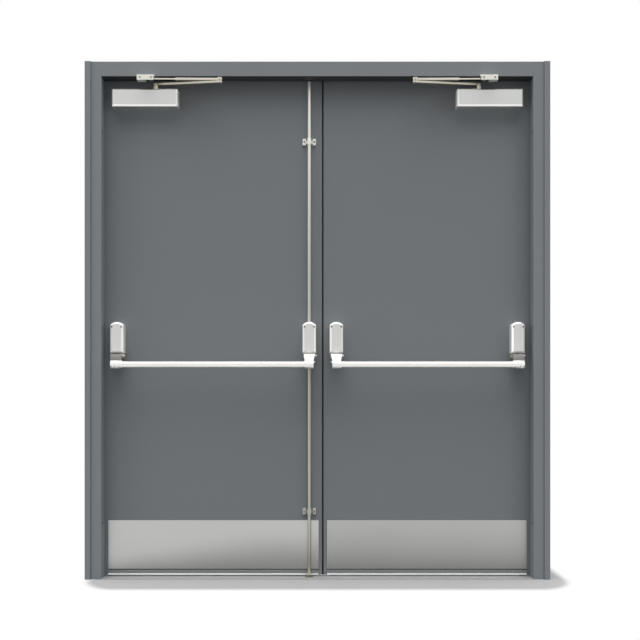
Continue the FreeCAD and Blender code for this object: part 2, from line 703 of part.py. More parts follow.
def bar_bracket(label, x):
    """A base plate with two cheeks that carry the pivot pin of the bar's arm."""
    foot = "pivot_height - cheek_radius"
    nose = "-pivot_off - cheek_radius"
    chamfer = "cheek_radius / 2"
    top = f"{COVER_BOTTOM} + cheek_rise"
    profile = [
        ("-bracket_sheet", foot),
        (f"{nose} + {chamfer}", foot),
        (nose, f"{foot} + {chamfer}"),
        (nose, f"pivot_height + {chamfer}"),
        (f"{nose} + {chamfer}", "pivot_height + cheek_radius"),
        ("-pivot_off", "pivot_height + cheek_radius"),
        ("-pivot_off", top),
        ("-bracket_sheet", top),
    ]
    body = doc.addObject("PartDesign::Body", f"{label}_cheek_block")
    sketch = outline(body, f"{label}_cheek_profile", "YZ_Plane", profile)
    pad(body, f"{label}_cheek_pad", sketch, f"2 * {CHEEK_OUT}", midplane=True)
    place(body, x)
    space = box(
        f"{label}_cheek_space",
        (f"{x} - cheek_space / 2", f"{x} + cheek_space / 2"),
        (nose, "-bracket_sheet"),
        (foot, top),
    )
    base = box(
        f"{label}_base",
        (f"{x} - bracket_width / 2", f"{x} + bracket_width / 2"),
        ("-bracket_sheet", "0"),
        (foot, f"{COVER_BOTTOM} + cover_height - cover_arch - bracket_inset"),
    )
    pin = cylinder(
        f"{label}_pin",
        "pivot_radius",
        "cheek_space",
        f"{x} - cheek_space / 2",
        "-pivot_off",
        "pivot_height",
        "X",
    )
    cheeks = cut(f"{label}_cheeks", body, space)
    node(fuse(f"{label}_parts", [base, cheeks, pin]), f"{label}_bracket")


def bar_cover(label, x, rod_hole):
    """A hollow cover with an arched top, open at back and foot, drilled for a rod where one leaves it."""
    body = doc.addObject("PartDesign::Body", f"{label}_shell")

    def arched(half, foot, straight, rise):
        points = [
            (f"-({half})", foot),
            (half, foot),
            (half, straight),
            (f"-({half})", straight),
        ]
        return points, (2, f"(({half})^2 + ({rise})^2) / (2 * ({rise}))")

    straight = "cover_height - cover_arch"
    points, arch = arched("cover_width / 2", "0", straight, "cover_arch")
    outer = outline(body, f"{label}_outline", "XZ_Plane", points, arch)
    bevelled_pad(body, label, outer, "cover_depth", "cover_bevel")
    half = "cover_width / 2 - cover_wall"
    points, arch = arched(half, "-cover_wall", straight, "cover_arch - cover_wall")
    inner = outline(body, f"{label}_hollow_outline", "XZ_Plane", points, arch)
    pocket(body, f"{label}_hollow", inner, "cover_depth - cover_bevel - cover_wall")
    place(body, x, "0", COVER_BOTTOM)
    if not rod_hole:
        node(body, f"{label}_cover")
        return
    hole = cylinder(
        f"{label}_rod_hole",
        "rod_diameter / 2 + rod_play",
        "2 * cover_arch",
        x,
        "-rod_off",
        f"{COVER_BOTTOM} + cover_height - cover_arch",
    )
    node(cut(f"{label}_drilled", body, hole), f"{label}_cover")


def bored_arm(label, x, parts):
    """Join an arm's parts to its hub, and bore the hub for the pivot pin."""
    hub = (f"2 * {HUB_HALF}", f"{x} - {HUB_HALF}", "-pivot_off", "pivot_height", "X")
    barrel = octagon(f"{label}_hub", "hub_radius", *hub)
    bore = cylinder(f"{label}_bore", "pivot_radius + running_gap", *hub)
    return cut(f"{label}_bored", fuse(f"{label}_solid", [barrel, *parts]), bore)


def sleeve(label, start, length):
    """The end of an arm that takes the bar."""
    return cylinder(f"{label}_sleeve", "sleeve_radius", length, start, "-bar_off", BAR_HEIGHT, "X")


def hooded_arm(label, x):
    """The arm nearest the meeting edge: a straight lever under a tapered hood."""

    def wedge(name, start_half, end_half, along, up):
        piece = doc.addObject("Part::Wedge", f"{label}_{name}")
        bind(
            piece,
            Xmin=f"-{start_half}",
            Xmax=start_half,
            X2min=f"-{end_half}",
            X2max=end_half,
            Ymin=along,
            Ymax=LEVER_LENGTH,
            Zmin=f"-({up[1]})",
            Zmax=f"-({up[0]})",
            Z2min=f"-({up[1]})",
            Z2max=f"-({up[0]})",
        )
        return place(piece, x, "-pivot_off", "pivot_height", Rotation(Vector(1, 0, 0), 1), LEVER_ANGLE)

    under = "hood_rise - hood_sheet"
    parts = [
        wedge("hood", "hood_wide / 2", "hood_narrow / 2", "hood_start", (under, "hood_rise")),
        wedge("lever", HUB_HALF, HUB_HALF, "0", ("-lever_under", under)),
        sleeve(label, f"{x} - sleeve_length / 2", "sleeve_length"),
    ]
    return bored_arm(label, x, parts)


def yoke_sleeve(u):
    """Where the sleeve nearest the hinges starts and ends, outwards from the middle."""
    middle = f"{u} - yoke_sleeve_shift"
    return f"({middle} - yoke_sleeve_length / 2)", f"({middle} + yoke_sleeve_length / 2)"


def yoke_arm(label, side, u):
    """The arm nearest the hinges: a yoke in front of the cheeks, a reach to the bar, sleeve and collar."""
    x = across(side, u)
    sleeve_u = yoke_sleeve(u)
    back = "-(pivot_off + cheek_radius + yoke_gap)"
    front = f"{back} - yoke_sheet"
    foot = f"{BAR_HEIGHT} - reach_height / 2"
    hub_x = (f"{x} - {HUB_HALF}", f"{x} + {HUB_HALF}")
    collar_u = (f"{sleeve_u[0]} - collar_length", sleeve_u[0])
    parts = [
        box(
            f"{label}_yoke",
            (f"{x} - yoke_width / 2", f"{x} + yoke_width / 2"),
            (front, back),
            (foot, f"{COVER_BOTTOM} - yoke_gap"),
        ),
        box(f"{label}_web", hub_x, (back, "-pivot_off"), ("pivot_height - hub_radius", "pivot_height")),
        side_box(
            f"{label}_reach", side, sleeve_u, ("-bar_off", front), (foot, f"{BAR_HEIGHT} + reach_height / 2")
        ),
        sleeve(label, outwards(side, *sleeve_u)[0], "yoke_sleeve_length"),
        cylinder(
            f"{label}_collar",
            "collar_radius",
            "collar_length",
            outwards(side, *collar_u)[0],
            "-bar_off",
            BAR_HEIGHT,
            "X",
        ),
    ]
    return bored_arm(label, x, parts)


def push_bar(side):
    """Two housings on the leaf, and the bar with its two arms."""
    name = SIDE_NAMES[side]
    at = stations(side)
    for station, u in at.items():
        label = f"{name}_{station}"
        x = across(side, u)
        bar_bracket(label, x)
        bar_cover(label, x, rod_hole=side == LEFT and station == "lock_side")
    hinge_u = at["hinge_side"]
    collar_end = f"{yoke_sleeve(hinge_u)[0]} - collar_length"
    node(hooded_arm(f"{name}_lock_arm", across(side, at["lock_side"])), f"{name}_lock_side_arm")
    node(yoke_arm(f"{name}_hinge_arm", side, hinge_u), f"{name}_hinge_side_arm")
    start, length = outwards(side, f"{at['lock_side']} + sleeve_length / 2", collar_end)
    run = (length, start, "-bar_off", BAR_HEIGHT, "X")
    tube = cut(
        f"{name}_bar_tube",
        cylinder(f"{name}_bar", "bar_diameter / 2", *run),
        cylinder(f"{name}_bar_hollow", "bar_diameter / 2 - bar_wall", *run),
    )
    node(tube, f"{name}_push_bar")


def vertical_bolts():
    """Two rods on the left leaf, their guides, and their keeps on the frame."""
    x = across(LEFT, stations(LEFT)["lock_side"])
    top_low = f"({COVER_BOTTOM} + cover_height - cover_arch - rod_entry)"
    top_high = f"({SOFFIT} - keep_sheet - rod_tip_gap)"
    top = cylinder("top_rod", "rod_diameter / 2", f"{top_high} - {top_low}", x, "-rod_off", top_low)
    node(top, "top_bolt_rod")
    foot = "(threshold_sheet + keep_sheet + rod_tip_gap)"
    length = f"{COVER_BOTTOM} + rod_foot_entry - {foot}"
    bottom = cylinder("bottom_rod", "rod_diameter / 2", length, x, "-rod_off", foot)
    node(bottom, "bottom_bolt_rod")

    half = "keep_size / 2"
    keeps = []
    for name, low in (("floor", "threshold_sheet"), ("head", f"{SOFFIT} - keep_sheet")):
        plate = box(
            f"{name}_keep_plate",
            (f"{x} - {half}", f"{x} + {half}"),
            (f"-rod_off - {half}", "-stop_gap"),
            (low, f"{low} + keep_sheet"),
        )
        hole = box(
            f"{name}_keep_hole",
            (f"{x} - keep_hole / 2", f"{x} + keep_hole / 2"),
            ("-rod_off - keep_hole / 2", "-rod_off + keep_hole / 2"),
            (low, f"{low} + keep_sheet"),
        )
        keeps.append(cut(f"{name}_keep", plate, hole))
    node(group("keeps", keeps), "bolt_keeps")

    heights = {"low": "guide_low", "high": f"{SOFFIT} - guide_drop"}
    guides = [rod_guide(f"guide_{name}", x, z) for name, z in heights.items()]
    node(group("guides", guides), "rod_guides")


def rod_guide(label, x, middle):
    """A strap on the leaf with a saddle over the rod and a raised screw lug at each end."""
    saddle = "(rod_diameter / 2 + guide_wall)"
    half = "(guide_height / 2)"
    end = "(guide_width / 2)"
    low = f"({middle} - {half})"
    z = (low, f"{middle} + {half}")
    parts = [
        box(
            f"{label}_strap",
            (f"{x} - {end}", f"{x} + {end}"),
            ("-guide_foot", "0"),
            (f"{middle} - guide_strap / 2", f"{middle} + guide_strap / 2"),
        ),
        box(f"{label}_cheeks", (f"{x} - {saddle}", f"{x} + {saddle}"), ("-rod_off", "0"), z),
        cylinder(f"{label}_nose", saddle, "guide_height", x, "-rod_off", low),
    ]
    for name, start in (("left", f"{x} - {end}"), ("right", f"{x} + {end} - guide_lug")):
        body = doc.addObject("PartDesign::Body", f"{label}_{name}_lug")
        corners = [("0", "0"), ("guide_lug", "0"), ("guide_lug", "guide_height"), ("0", "guide_height")]
        sketch = outline(body, f"{label}_{name}_front", "XZ_Plane", corners)
        bevelled_pad(body, f"{label}_{name}", sketch, "guide_lug_rise", "guide_lug_bevel")
        parts.append(place(body, start, "0", low))
    bore = cylinder(
        f"{label}_bore", "rod_diameter / 2 + rod_play", "guide_height", x, "-rod_off", low
    )
    return cut(label, fuse(f"{label}_solid", parts), bore)


def check_document():
    """Stop at any object that failed, or any sub-part without a sound solid."""
    doc.recompute()
    for obj in doc.Objects:
        if "Invalid" in obj.State or "Error" in obj.State:
            raise RuntimeError(f"{obj.Name} failed: {obj.State}")
    for obj in nodes:
        shape = obj.Shape
        if shape.isNull() or not shape.isValid() or not shape.Solids:
            raise RuntimeError(f"{obj.Label} has no sound solid")


def export():
    """Write each sub-part to a file of its own."""
    os.makedirs("parts", exist_ok=True)
    for obj in nodes:
        obj.Shape.exportStep(f"parts/{obj.Label}.step")


def build():
    """Make the whole door."""
    fill_sheet()
    head()
    threshold()
    for side in (LEFT, RIGHT):
        jamb(side)
        leaf(side)
        hinge_halves(side)
        leaf_foot(side)
        closer_body(side)
        closer_arms(side)
        closer_shoe(side)
        push_bar(side)
    vertical_bolts()
    check_document()
    export()


build()
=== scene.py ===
"""Looks of a double steel utility door.

Paint, metal, rubber and fibre finishes for the door's solids, the small fasteners and seals that the
solids leave out, and a plain studio round it. Lengths are metres unless a name ends in _mm.
"""

import json
import logging
import math
import random
from abc import ABC, abstractmethod
from collections.abc import Iterable, Sequence
from dataclasses import dataclass, field
from enum import Enum

import bmesh
import bpy
from mathutils import Matrix, Vector

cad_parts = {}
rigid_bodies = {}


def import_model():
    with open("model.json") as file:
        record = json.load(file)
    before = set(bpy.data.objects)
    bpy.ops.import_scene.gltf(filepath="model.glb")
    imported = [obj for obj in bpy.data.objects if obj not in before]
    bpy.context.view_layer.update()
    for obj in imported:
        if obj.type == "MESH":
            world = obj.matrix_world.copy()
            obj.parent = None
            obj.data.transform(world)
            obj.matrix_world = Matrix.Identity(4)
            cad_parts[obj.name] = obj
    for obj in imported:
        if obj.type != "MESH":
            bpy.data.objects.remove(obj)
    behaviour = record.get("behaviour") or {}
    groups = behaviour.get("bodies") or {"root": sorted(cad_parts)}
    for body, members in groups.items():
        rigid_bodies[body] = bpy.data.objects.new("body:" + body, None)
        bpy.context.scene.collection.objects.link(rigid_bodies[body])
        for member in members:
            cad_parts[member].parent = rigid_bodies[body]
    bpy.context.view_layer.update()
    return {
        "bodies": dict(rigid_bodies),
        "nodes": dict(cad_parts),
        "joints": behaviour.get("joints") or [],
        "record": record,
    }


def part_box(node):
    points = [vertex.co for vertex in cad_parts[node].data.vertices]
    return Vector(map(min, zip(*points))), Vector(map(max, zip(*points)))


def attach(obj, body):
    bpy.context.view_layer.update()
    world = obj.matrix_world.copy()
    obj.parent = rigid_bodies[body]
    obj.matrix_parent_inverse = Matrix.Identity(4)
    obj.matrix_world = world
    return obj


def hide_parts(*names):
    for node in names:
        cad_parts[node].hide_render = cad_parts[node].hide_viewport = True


LOG = logging.getLogger("door")
MM = 0.001
SEED = 7
WHITE = (1.0, 1.0, 1.0, 1.0)
HEXAGON_SIDES = 6
ROUND_SIDES = 24
RIVET_SIDES = 28

Rgb = tuple[int, int, int]
Rgba = tuple[float, float, float, float]
Span = tuple[float, float]
Place = tuple[float, float, float]
Outline = Sequence[tuple[float, float]]
Socket = bpy.types.NodeSocket


class Side(Enum):
    """The two leaves, with the sign of X on their side."""

    LEFT = -1
    RIGHT = 1

    @property
    def word(self) -> str:
        """The side's word in the names of nodes and bodies."""
        return self.name.lower()


class Grain(Enum):
    """How far a brushed grain is stretched along each axis."""

    ALONG_X = (3.0, 900.0, 900.0)
    ALONG_Z = (900.0, 900.0, 3.0)
    EVEN = (420.0, 420.0, 420.0)


class Recess(Enum):
    """The drive in a screw's head."""

    CROSS = "cross"
    HEXAGON = "hexagon"


def linear(colour: Rgb, share: float = 1.0) -> Rgba:
    """Turn a display colour into the linear one that shaders take.

    Args:
        colour: red, green and blue from 0 to 255.
        share: what the linear colour is multiplied by.

    Returns:
        The linear colour with an alpha of 1.
    """
    parts = [c / 255 for c in colour]
    light = [c / 12.92 if c <= 0.04045 else ((c + 0.055) / 1.055) ** 2.4 for c in parts]
    return (light[0] * share, light[1] * share, light[2] * share, 1.0)


def grey(level: float) -> Rgba:
    """Give a linear grey with an alpha of 1."""
    return (level, level, level, 1.0)


class NodeDesk:
    """Adds nodes to one tree, sets their sockets and joins them."""

    def __init__(self, tree: bpy.types.NodeTree) -> None:
        """Take over a tree and empty it."""
        self.tree = tree
        tree.nodes.clear()

    def add(self, kind: str, sockets: dict | None = None, **settings: object) -> bpy.types.Node:
        """Add a node.

        Args:
            kind: the node's type name without its ShaderNode prefix.
            sockets: a value, or an output socket to link from, by input name or number.
            settings: the node's own properties.

        Returns:
            The new node.
        """
        node = self.tree.nodes.new(kind if kind.startswith("NodeGroup") else f"ShaderNode{kind}")
        for name, value in settings.items():
            setattr(node, name, value)
        for name, value in (sockets or {}).items():
            if isinstance(value, Socket):
                self.tree.links.new(value, node.inputs[name])
            else:
                node.inputs[name].default_value = value
        return node

    def math(
        self, operation: str, a: object, b: object = 0.0, addend: object = 0.0, clamp: bool = False
    ) -> Socket:
        """Work out a value from numbers or output sockets, kept from 0 to 1 where clamp is set."""
        sockets = {0: a, 1: b, 2: addend}
        return self.add("Math", sockets, operation=operation, use_clamp=clamp).outputs[0]

    def mix(self, factor: object, a: object, b: object) -> Socket:
        """Mix two colours or sockets, with the share of the second one as the factor."""
        return self.add("Mix", {0: factor, 6: a, 7: b}, data_type="RGBA").outputs[2]

    def scaled(self, colour: object, share: Socket) -> Socket:
        """Multiply a colour, or a colour's socket, by a value."""
        return self.add("VectorMath", {0: colour, 3: share}, operation="SCALE").outputs[0]

    def spread(self, value: Socket, low: float, high: float) -> Socket:
        """Map a value from 0 to 1 to a range."""
        return self.add("MapRange", {"Value": value, "To Min": low, "To Max": high}).outputs[0]

    def ramp(
        self,
        value: Socket,
        start: object,
        end: object,
        low: object = 0.0,
        high: float = 1.0,
        soft: bool = True,
    ) -> Socket:
        """Go from one level to another while a value crosses a range, and stay level outside it.

        Args:
            value: the value's socket.
            start: where the range starts.
            end: where it ends.
            low: the level at its start.
            high: the level at its end.
            soft: whether the ramp is rounded at both ends.

        Returns:
            The level's socket.
        """
        sockets = {"Value": value, "From Min": start, "From Max": end, "To Min": low, "To Max": high}
        kind = "SMOOTHSTEP" if soft else "LINEAR"
        return self.add("MapRange", sockets, interpolation_type=kind).outputs[0]

    def noise(self, place: Socket, scale: object, detail: float, roughness: float = 0.5) -> Socket:
        """Give a noise from 0 to 1, with detail for its finer layers and roughness for their strength."""
        sockets = {"Vector": place, "Scale": scale, "Detail": detail, "Roughness": roughness}
        return self.add("TexNoise", sockets).outputs[0]

    def part(self, vector: Socket, axis: str) -> Socket:
        """Take one axis of a vector."""
        return self.add("SeparateXYZ", {0: vector}).outputs[axis]

    def join(self, source: Socket, target: Socket) -> None:
        """Link an output to an input."""
        self.tree.links.new(source, target)


class Effects:
    """The surface effects that several materials share, each a node group that is built once."""

    def __init__(self) -> None:
        """Build the groups."""
        self.peel = self._powder_peel()
        self.drift = self._tone_drift()
        self.grain = self._brush_grain()
        self.rub = self._edge_rub()
        self.worn = self._worn_foot()
        self.turned = self._turned_away()

    @staticmethod
    def _group(
        name: str, vectors: Sequence[str], values: Sequence[str], gives: Sequence[str]
    ) -> tuple[NodeDesk, bpy.types.NodeOutputs, bpy.types.NodeInputs]:
        """Start a group.

        Args:
            name: the group's name.
            vectors: the names of its vector inputs.
            values: the names of its number inputs.
            gives: the names of its outputs, which are all values.

        Returns:
            A desk on the group's tree, its input node's sockets and its output node's sockets.
        """
        tree = bpy.data.node_groups.new(name, "ShaderNodeTree")
        for labels, way, kind in (
            (vectors, "INPUT", "Vector"),
            (values, "INPUT", "Float"),
            (gives, "OUTPUT", "Float"),
        ):
            for label in labels:
                tree.interface.new_socket(label, in_out=way, socket_type=f"NodeSocket{kind}")
        desk = NodeDesk(tree)
        return desk, desk.add("NodeGroupInput").outputs, desk.add("NodeGroupOutput").inputs

    def _powder_peel(self) -> bpy.types.NodeTree:
        """Build the fine orange peel of a powder coat: a height and a speckle.

        Returns:
            The group.
        """
        finer, fine_share = 3.7, 0.35
        desk, start, end = self._group("powder_peel", ("Vector",), ("Scale",), ("Height", "Speckle"))
        coarse = desk.noise(start["Vector"], start["Scale"], detail=2.0, roughness=0.45)
        fine_scale = desk.math("MULTIPLY", start["Scale"], finer)
        fine = desk.noise(start["Vector"], fine_scale, detail=1.0)
        desk.join(desk.math("ADD", coarse, desk.math("MULTIPLY", fine, fine_share)), end["Height"])
        desk.join(fine, end["Speckle"])
        return desk.tree

    def _tone_drift(self) -> bpy.types.NodeTree:
        """Build slow changes of tone and gloss across a surface, from 0 to 1.

        Returns:
            The group.
        """
        gloss_finer = 2.3
        desk, start, end = self._group("tone_drift", ("Vector",), ("Scale",), ("Tone", "Gloss"))
        tone = desk.noise(start["Vector"], start["Scale"], detail=3.0, roughness=0.4)
        desk.join(tone, end["Tone"])
        gloss_scale = desk.math("MULTIPLY", start["Scale"], gloss_finer)
        desk.join(desk.noise(start["Vector"], gloss_scale, detail=2.0), end["Gloss"])
        return desk.tree

    def _brush_grain(self) -> bpy.types.NodeTree:
        """Build brush lines: a streak that follows the stretch given for each axis, and its height.

        Returns:
            The group.
        """
        wide_scale, wide_share = 0.35, 0.5
        desk, start, end = self._group("brush_grain", ("Vector", "Stretch"), (), ("Streak", "Height"))
        sockets = {0: start["Vector"], 1: start["Stretch"]}
        stretched = desk.add("VectorMath", sockets, operation="MULTIPLY").outputs[0]
        wide = desk.noise(stretched, wide_scale, detail=2.0)
        narrow = desk.noise(stretched, 1.0, detail=3.0, roughness=0.6)
        narrow_part = desk.math("MULTIPLY", narrow, 1 - wide_share)
        desk.join(desk.math("ADD", desk.math("MULTIPLY", wide, wide_share), narrow_part), end["Streak"])
        desk.join(narrow, end["Height"])
        return desk.tree

    def _edge_rub(self) -> bpy.types.NodeTree:
        """Build a mask of where a surface turns sharply, broken up in patches: for edges rubbed by hands and
        cloths, and for a painted highlight on bevels.

        Returns:
            The group.
        """
        sharpness, break_scale, least = 6.0, 60.0, 0.55
        desk, start, end = self._group("edge_rub", ("Vector",), ("Radius",), ("Mask",))
        flat = desk.add("NewGeometry").outputs["Normal"]
        rounded = desk.add("Bevel", {"Radius": start["Radius"]}, samples=4).outputs[0]
        sockets = {0: flat, 1: rounded}
        facing = desk.add("VectorMath", sockets, operation="DOT_PRODUCT").outputs["Value"]
        turn = desk.math("MULTIPLY", desk.math("SUBTRACT", 1.0, facing), sharpness, clamp=True)
        patchy = desk.spread(desk.noise(start["Vector"], break_scale, detail=2.0), least, 1.0)
        desk.join(desk.math("MULTIPLY", turn, patchy), end["Mask"])
        return desk.tree

    def _worn_foot(self) -> bpy.types.NodeTree:
        """Build how much of its tone a surface keeps at each height, as painted light and shade, with an
        edge that may climb.

        Returns:
            The group.
        """
        bend, ripple = 1.7, 0.04
        values = ("Drift", "Foot", "Top", "Foot Share", "Lean", "Lean From", "Lean Span")
        desk, start, end = self._group("worn_foot", ("Vector",), values, ("Share",))
        left = desk.math("SUBTRACT", start["Lean From"], desk.part(start["Vector"], "X"))
        share = desk.math("DIVIDE", left, start["Lean Span"], clamp=True)
        climb = desk.math("MULTIPLY", desk.math("POWER", share, bend), start["Lean"])
        warp = desk.math("MULTIPLY", desk.math("SUBTRACT", start["Drift"], 0.5), ripple)
        height = desk.math("ADD", desk.math("ADD", desk.part(start["Vector"], "Z"), climb), warp)
        desk.join(desk.ramp(height, start["Foot"], start["Top"], start["Foot Share"]), end["Share"])
        return desk.tree

    def _turned_away(self) -> bpy.types.NodeTree:
        """Build a mask of what doesn't face straight out from the leaf.

        Returns:
            The group.
        """
        desk, start, end = self._group("turned_away", ("Normal",), ("From", "To"), ("Mask",))
        desk.join(desk.ramp(desk.part(start["Normal"], "Y"), start["From"], start["To"]), end["Mask"])
        return desk.tree


@dataclass
class Coat:
    """A material while it is made: its desk, the shared effects, and the sockets for its shader so far."""

    desk: NodeDesk
    effects: Effects
    place: Socket
    facing: Socket
    drift: Socket
    colour: Socket
    rough: Socket | None = None
    metal: Socket | None = None
    normal: Socket | None = None

    def effect(self, group: bpy.types.NodeTree, **sockets: object) -> bpy.types.NodeOutputs:
        """Place a shared effect at the object's own coordinates and give its outputs."""
        named = {"Vector": self.place} | {name.replace("_", " "): value for name, value in sockets.items()}
        return self.desk.add("Group", named, node_tree=group).outputs

    def dim(self, share: Socket) -> None:
        """Multiply the colour by a value."""
        self.colour = self.desk.scaled(self.colour, share)

    def tint(self, share: Socket, colour: object) -> None:
        """Mix another colour, or a colour's socket, into the colour."""
        self.colour = self.desk.mix(share, self.colour, colour)

    def bump(self, height: Socket, strength: float, depth_mm: float) -> None:
        """Raise the surface by a height."""
        sockets = {"Height": height, "Strength": strength, "Distance": depth_mm * MM}
        self.normal = self.desk.add("Bump", sockets).outputs[0]


@dataclass(frozen=True)
class Finish(ABC):
    """What every finish has: a name, a colour, a gloss and edges that may be lightened, partly as rubbed
    wear and partly as a painted highlight.
    """

    name: str
    colour: Rgb
    roughness: float
    metallic: float = 0.0
    tone: float = 0.06
    specular: float = 0.5
    drift_scale: float = 2.0
    rub: float = 0.0
    rub_radius_mm: float = 1.2
    rub_colour: Rgb = (250, 250, 247)

    def material(self, effects: Effects) -> bpy.types.Material:
        """Make the material.

        Args:
            effects: the shared surface effects.

        Returns:
            The finished material.
        """
        material = bpy.data.materials.new(self.name)
        material.use_nodes = True
        desk = NodeDesk(material.node_tree)
        seen = desk.add("TexCoord").outputs
        shader = desk.add("BsdfPrincipled", {"Metallic": self.metallic, "Specular IOR Level": self.specular})
        sockets = {"Vector": seen["Object"], "Scale": self.drift_scale}
        drift = desk.add("Group", sockets, node_tree=effects.drift).outputs
        dark, light = linear(self.colour, 1 - self.tone), linear(self.colour, 1 + self.tone)
        toned = desk.mix(drift["Tone"], dark, light)
        coat = Coat(desk, effects, seen["Object"], seen["Normal"], drift["Gloss"], toned)
        self.surface(coat)
        # Edges mixed towards a pale colour: part rubbed wear, part painted highlight.
        if self.rub:
            mask = coat.effect(effects.rub, Radius=self.rub_radius_mm * MM)["Mask"]
            coat.tint(desk.math("MULTIPLY", mask, self.rub), linear(self.rub_colour))
        made = (coat.colour, coat.rough, coat.metal, coat.normal)
        for name, socket in zip(("Base Color", "Roughness", "Metallic", "Normal"), made):
            if socket is not None:
                desk.join(socket, shader.inputs[name])
        desk.add("OutputMaterial", {0: shader.outputs[0]})
        return material

    @abstractmethod
    def surface(self, coat: Coat) -> None:
        """Add the finish's own detail to the material so far."""


@dataclass(frozen=True)
class PowderCoat(Finish):
    """A satin powder coat with fine orange peel."""

    peel_scale: float = 420.0
    peel: float = 0.10
    peel_depth_mm: float = 0.3
    gloss_swing: float = 0.05

    def surface(self, coat: Coat) -> None:
        """Add peel, and a speckle in the gloss.

        Args:
            coat: the material so far.
        """
        desk, swing = coat.desk, self.gloss_swing
        peel = coat.effect(coat.effects.peel, Scale=self.peel_scale)
        speckle = desk.spread(peel["Speckle"], -swing, swing)
        slow = desk.spread(coat.drift, self.roughness - swing, self.roughness + swing)
        coat.rough = desk.math("ADD", slow, speckle, clamp=True)
        coat.bump(peel["Height"], self.peel, self.peel_depth_mm)


@dataclass(frozen=True)
class BeadedPaint(PowderCoat):
    """The frame's powder coat, with painted shade in a line at the foot of the jambs' beads and on the faces
    that look down under the head.
    """

    bead_foot: float = 0.9205
    dust_reach: float = 0.0032
    dust_share: float = 0.66
    soffit_share: float = 0.26
    soffit_tilt: Span = (-0.95, -0.8)

    def surface(self, coat: Coat) -> None:
        """Add the painted shade at the beads' foot and under the head to the powder coat.

        Args:
            coat: the material so far.
        """
        super().surface(coat)
        desk = coat.desk
        # Painted shade: a thin dark line along the foot of each jamb's bead.
        across = desk.math("ABSOLUTE", desk.part(coat.place, "X"))
        away = desk.math("ABSOLUTE", desk.math("SUBTRACT", across, self.bead_foot))
        unshaded_by_bead = desk.ramp(away, 0.0, self.dust_reach, self.dust_share)
        # Painted shade: faces that look down, as under the head, are darkened.
        soffit_shade = desk.ramp(desk.part(coat.facing, "Z"), *self.soffit_tilt, self.soffit_share, soft=False)
        coat.dim(desk.math("MULTIPLY", unshaded_by_bead, soffit_shade))


@dataclass(frozen=True)
class BrushedMetal(Finish):
    """Bare or plated metal with brush lines."""

    metallic: float = 1.0
    grain: Grain = Grain.EVEN
    line: float = 0.08
    line_gloss: float = 0.07
    bump: float = 0.05
    bump_depth_mm: float = 0.1
    gloss_swing: float = 0.04

    def surface(self, coat: Coat) -> None:
        """Add brush lines to the colour, the gloss and the height.

        Args:
            coat: the material so far.
        """
        desk, swing = coat.desk, self.gloss_swing
        grain = coat.effect(coat.effects.grain, Stretch=self.grain.value)
        coat.dim(desk.spread(grain["Streak"], 1 - self.line, 1 + self.line))
        slow = desk.spread(coat.drift, self.roughness - swing, self.roughness + swing)
        lines = desk.spread(grain["Streak"], -self.line_gloss, self.line_gloss)
        coat.rough = desk.math("ADD", slow, lines, clamp=True)
        coat.bump(grain["Height"], self.bump, self.bump_depth_mm)


@dataclass(frozen=True)
class WornFoot(BrushedMetal):
    """Satin steel whose tone changes towards its foot, as painted shade where it darkens and painted light
    where it lightens.

    The change may climb from the left to the right: lean is how much lower it stands at lean_span to the
    left of lean_from.
    """

    foot: float = 0.0
    top: float = 0.26
    foot_share: float = 0.55
    lean: float = 0.0
    lean_from: float = 0.0
    lean_span: float = 1.0

    def surface(self, coat: Coat) -> None:
        """Add the painted light and shade at the foot to the brushed metal.

        Args:
            coat: the material so far.
        """
        super().surface(coat)
        # Painted light and shade: the tone is scaled by height, darker or lighter towards the foot.
        worn = coat.effect(
            coat.effects.worn,
            Drift=coat.drift,
            Foot=self.foot,
            Top=self.top,
            Foot_Share=self.foot_share,
            Lean=self.lean,
            Lean_From=self.lean_from,
            Lean_Span=self.lean_span,
        )
        coat.dim(worn["Share"])


@dataclass(frozen=True)
class PolishedBevel(BrushedMetal):
    """A satin front with bevels, sides and an arched top painted brighter as a painted highlight, and ends
    that may be painted.
    """

    rub_radius_mm: float = 2.0
    bump: float = 0.02
    bevel_colour: Rgb = (252, 252, 250)
    bevel_share: float = 0.9
    front_tilt: Span = (-0.99, -0.93)
    painted_ends: bool = False
    end_tilt: Span = (0.6, 0.9)
    end_metal: float = 0.05

    def surface(self, coat: Coat) -> None:
        """Brighten what doesn't face straight out from the leaf as a painted highlight, and leave the metal
        off painted ends.

        Args:
            coat: the material so far.
        """
        super().surface(coat)
        desk = coat.desk
        # Painted highlight: faces turned away from the front are mixed towards white.
        sockets = {"Normal": coat.facing, "From": self.front_tilt[0], "To": self.front_tilt[1]}
        mask = desk.add("Group", sockets, node_tree=coat.effects.turned).outputs["Mask"]
        coat.tint(desk.math("MULTIPLY", mask, self.bevel_share), linear(self.bevel_colour))
        if self.painted_ends:
            turned_out = desk.math("ABSOLUTE", desk.part(coat.facing, "X"))
            coat.metal = desk.ramp(turned_out, *self.end_tilt, 1.0, self.end_metal, soft=False)


@dataclass(frozen=True)
class CastNeck(BrushedMetal):
    """A bright machined sleeve whose neck is painted grey as shade, lighter towards its top."""

    neck_colour: Rgb = (146, 145, 142)
    neck_foot: float = 0.889
    neck_top: float = 0.912
    neck_tones: Span = (0.72, 1.25)
    blend: float = 0.003

    def surface(self, coat: Coat) -> None:
        """Lay the painted shade over the neck.

        Args:
            coat: the material so far.
        """
        super().surface(coat)
        desk = coat.desk
        # Painted shade: above neck_foot the colour is mixed to a grey that grows lighter towards neck_top.
        height = desk.part(coat.place, "Z")
        above = desk.ramp(height, self.neck_foot, self.neck_foot + self.blend, soft=False)
        lighter = desk.ramp(height, self.neck_foot, self.neck_top, *self.neck_tones, soft=False)
        coat.tint(above, desk.scaled(linear(self.neck_colour)[:3], lighter))


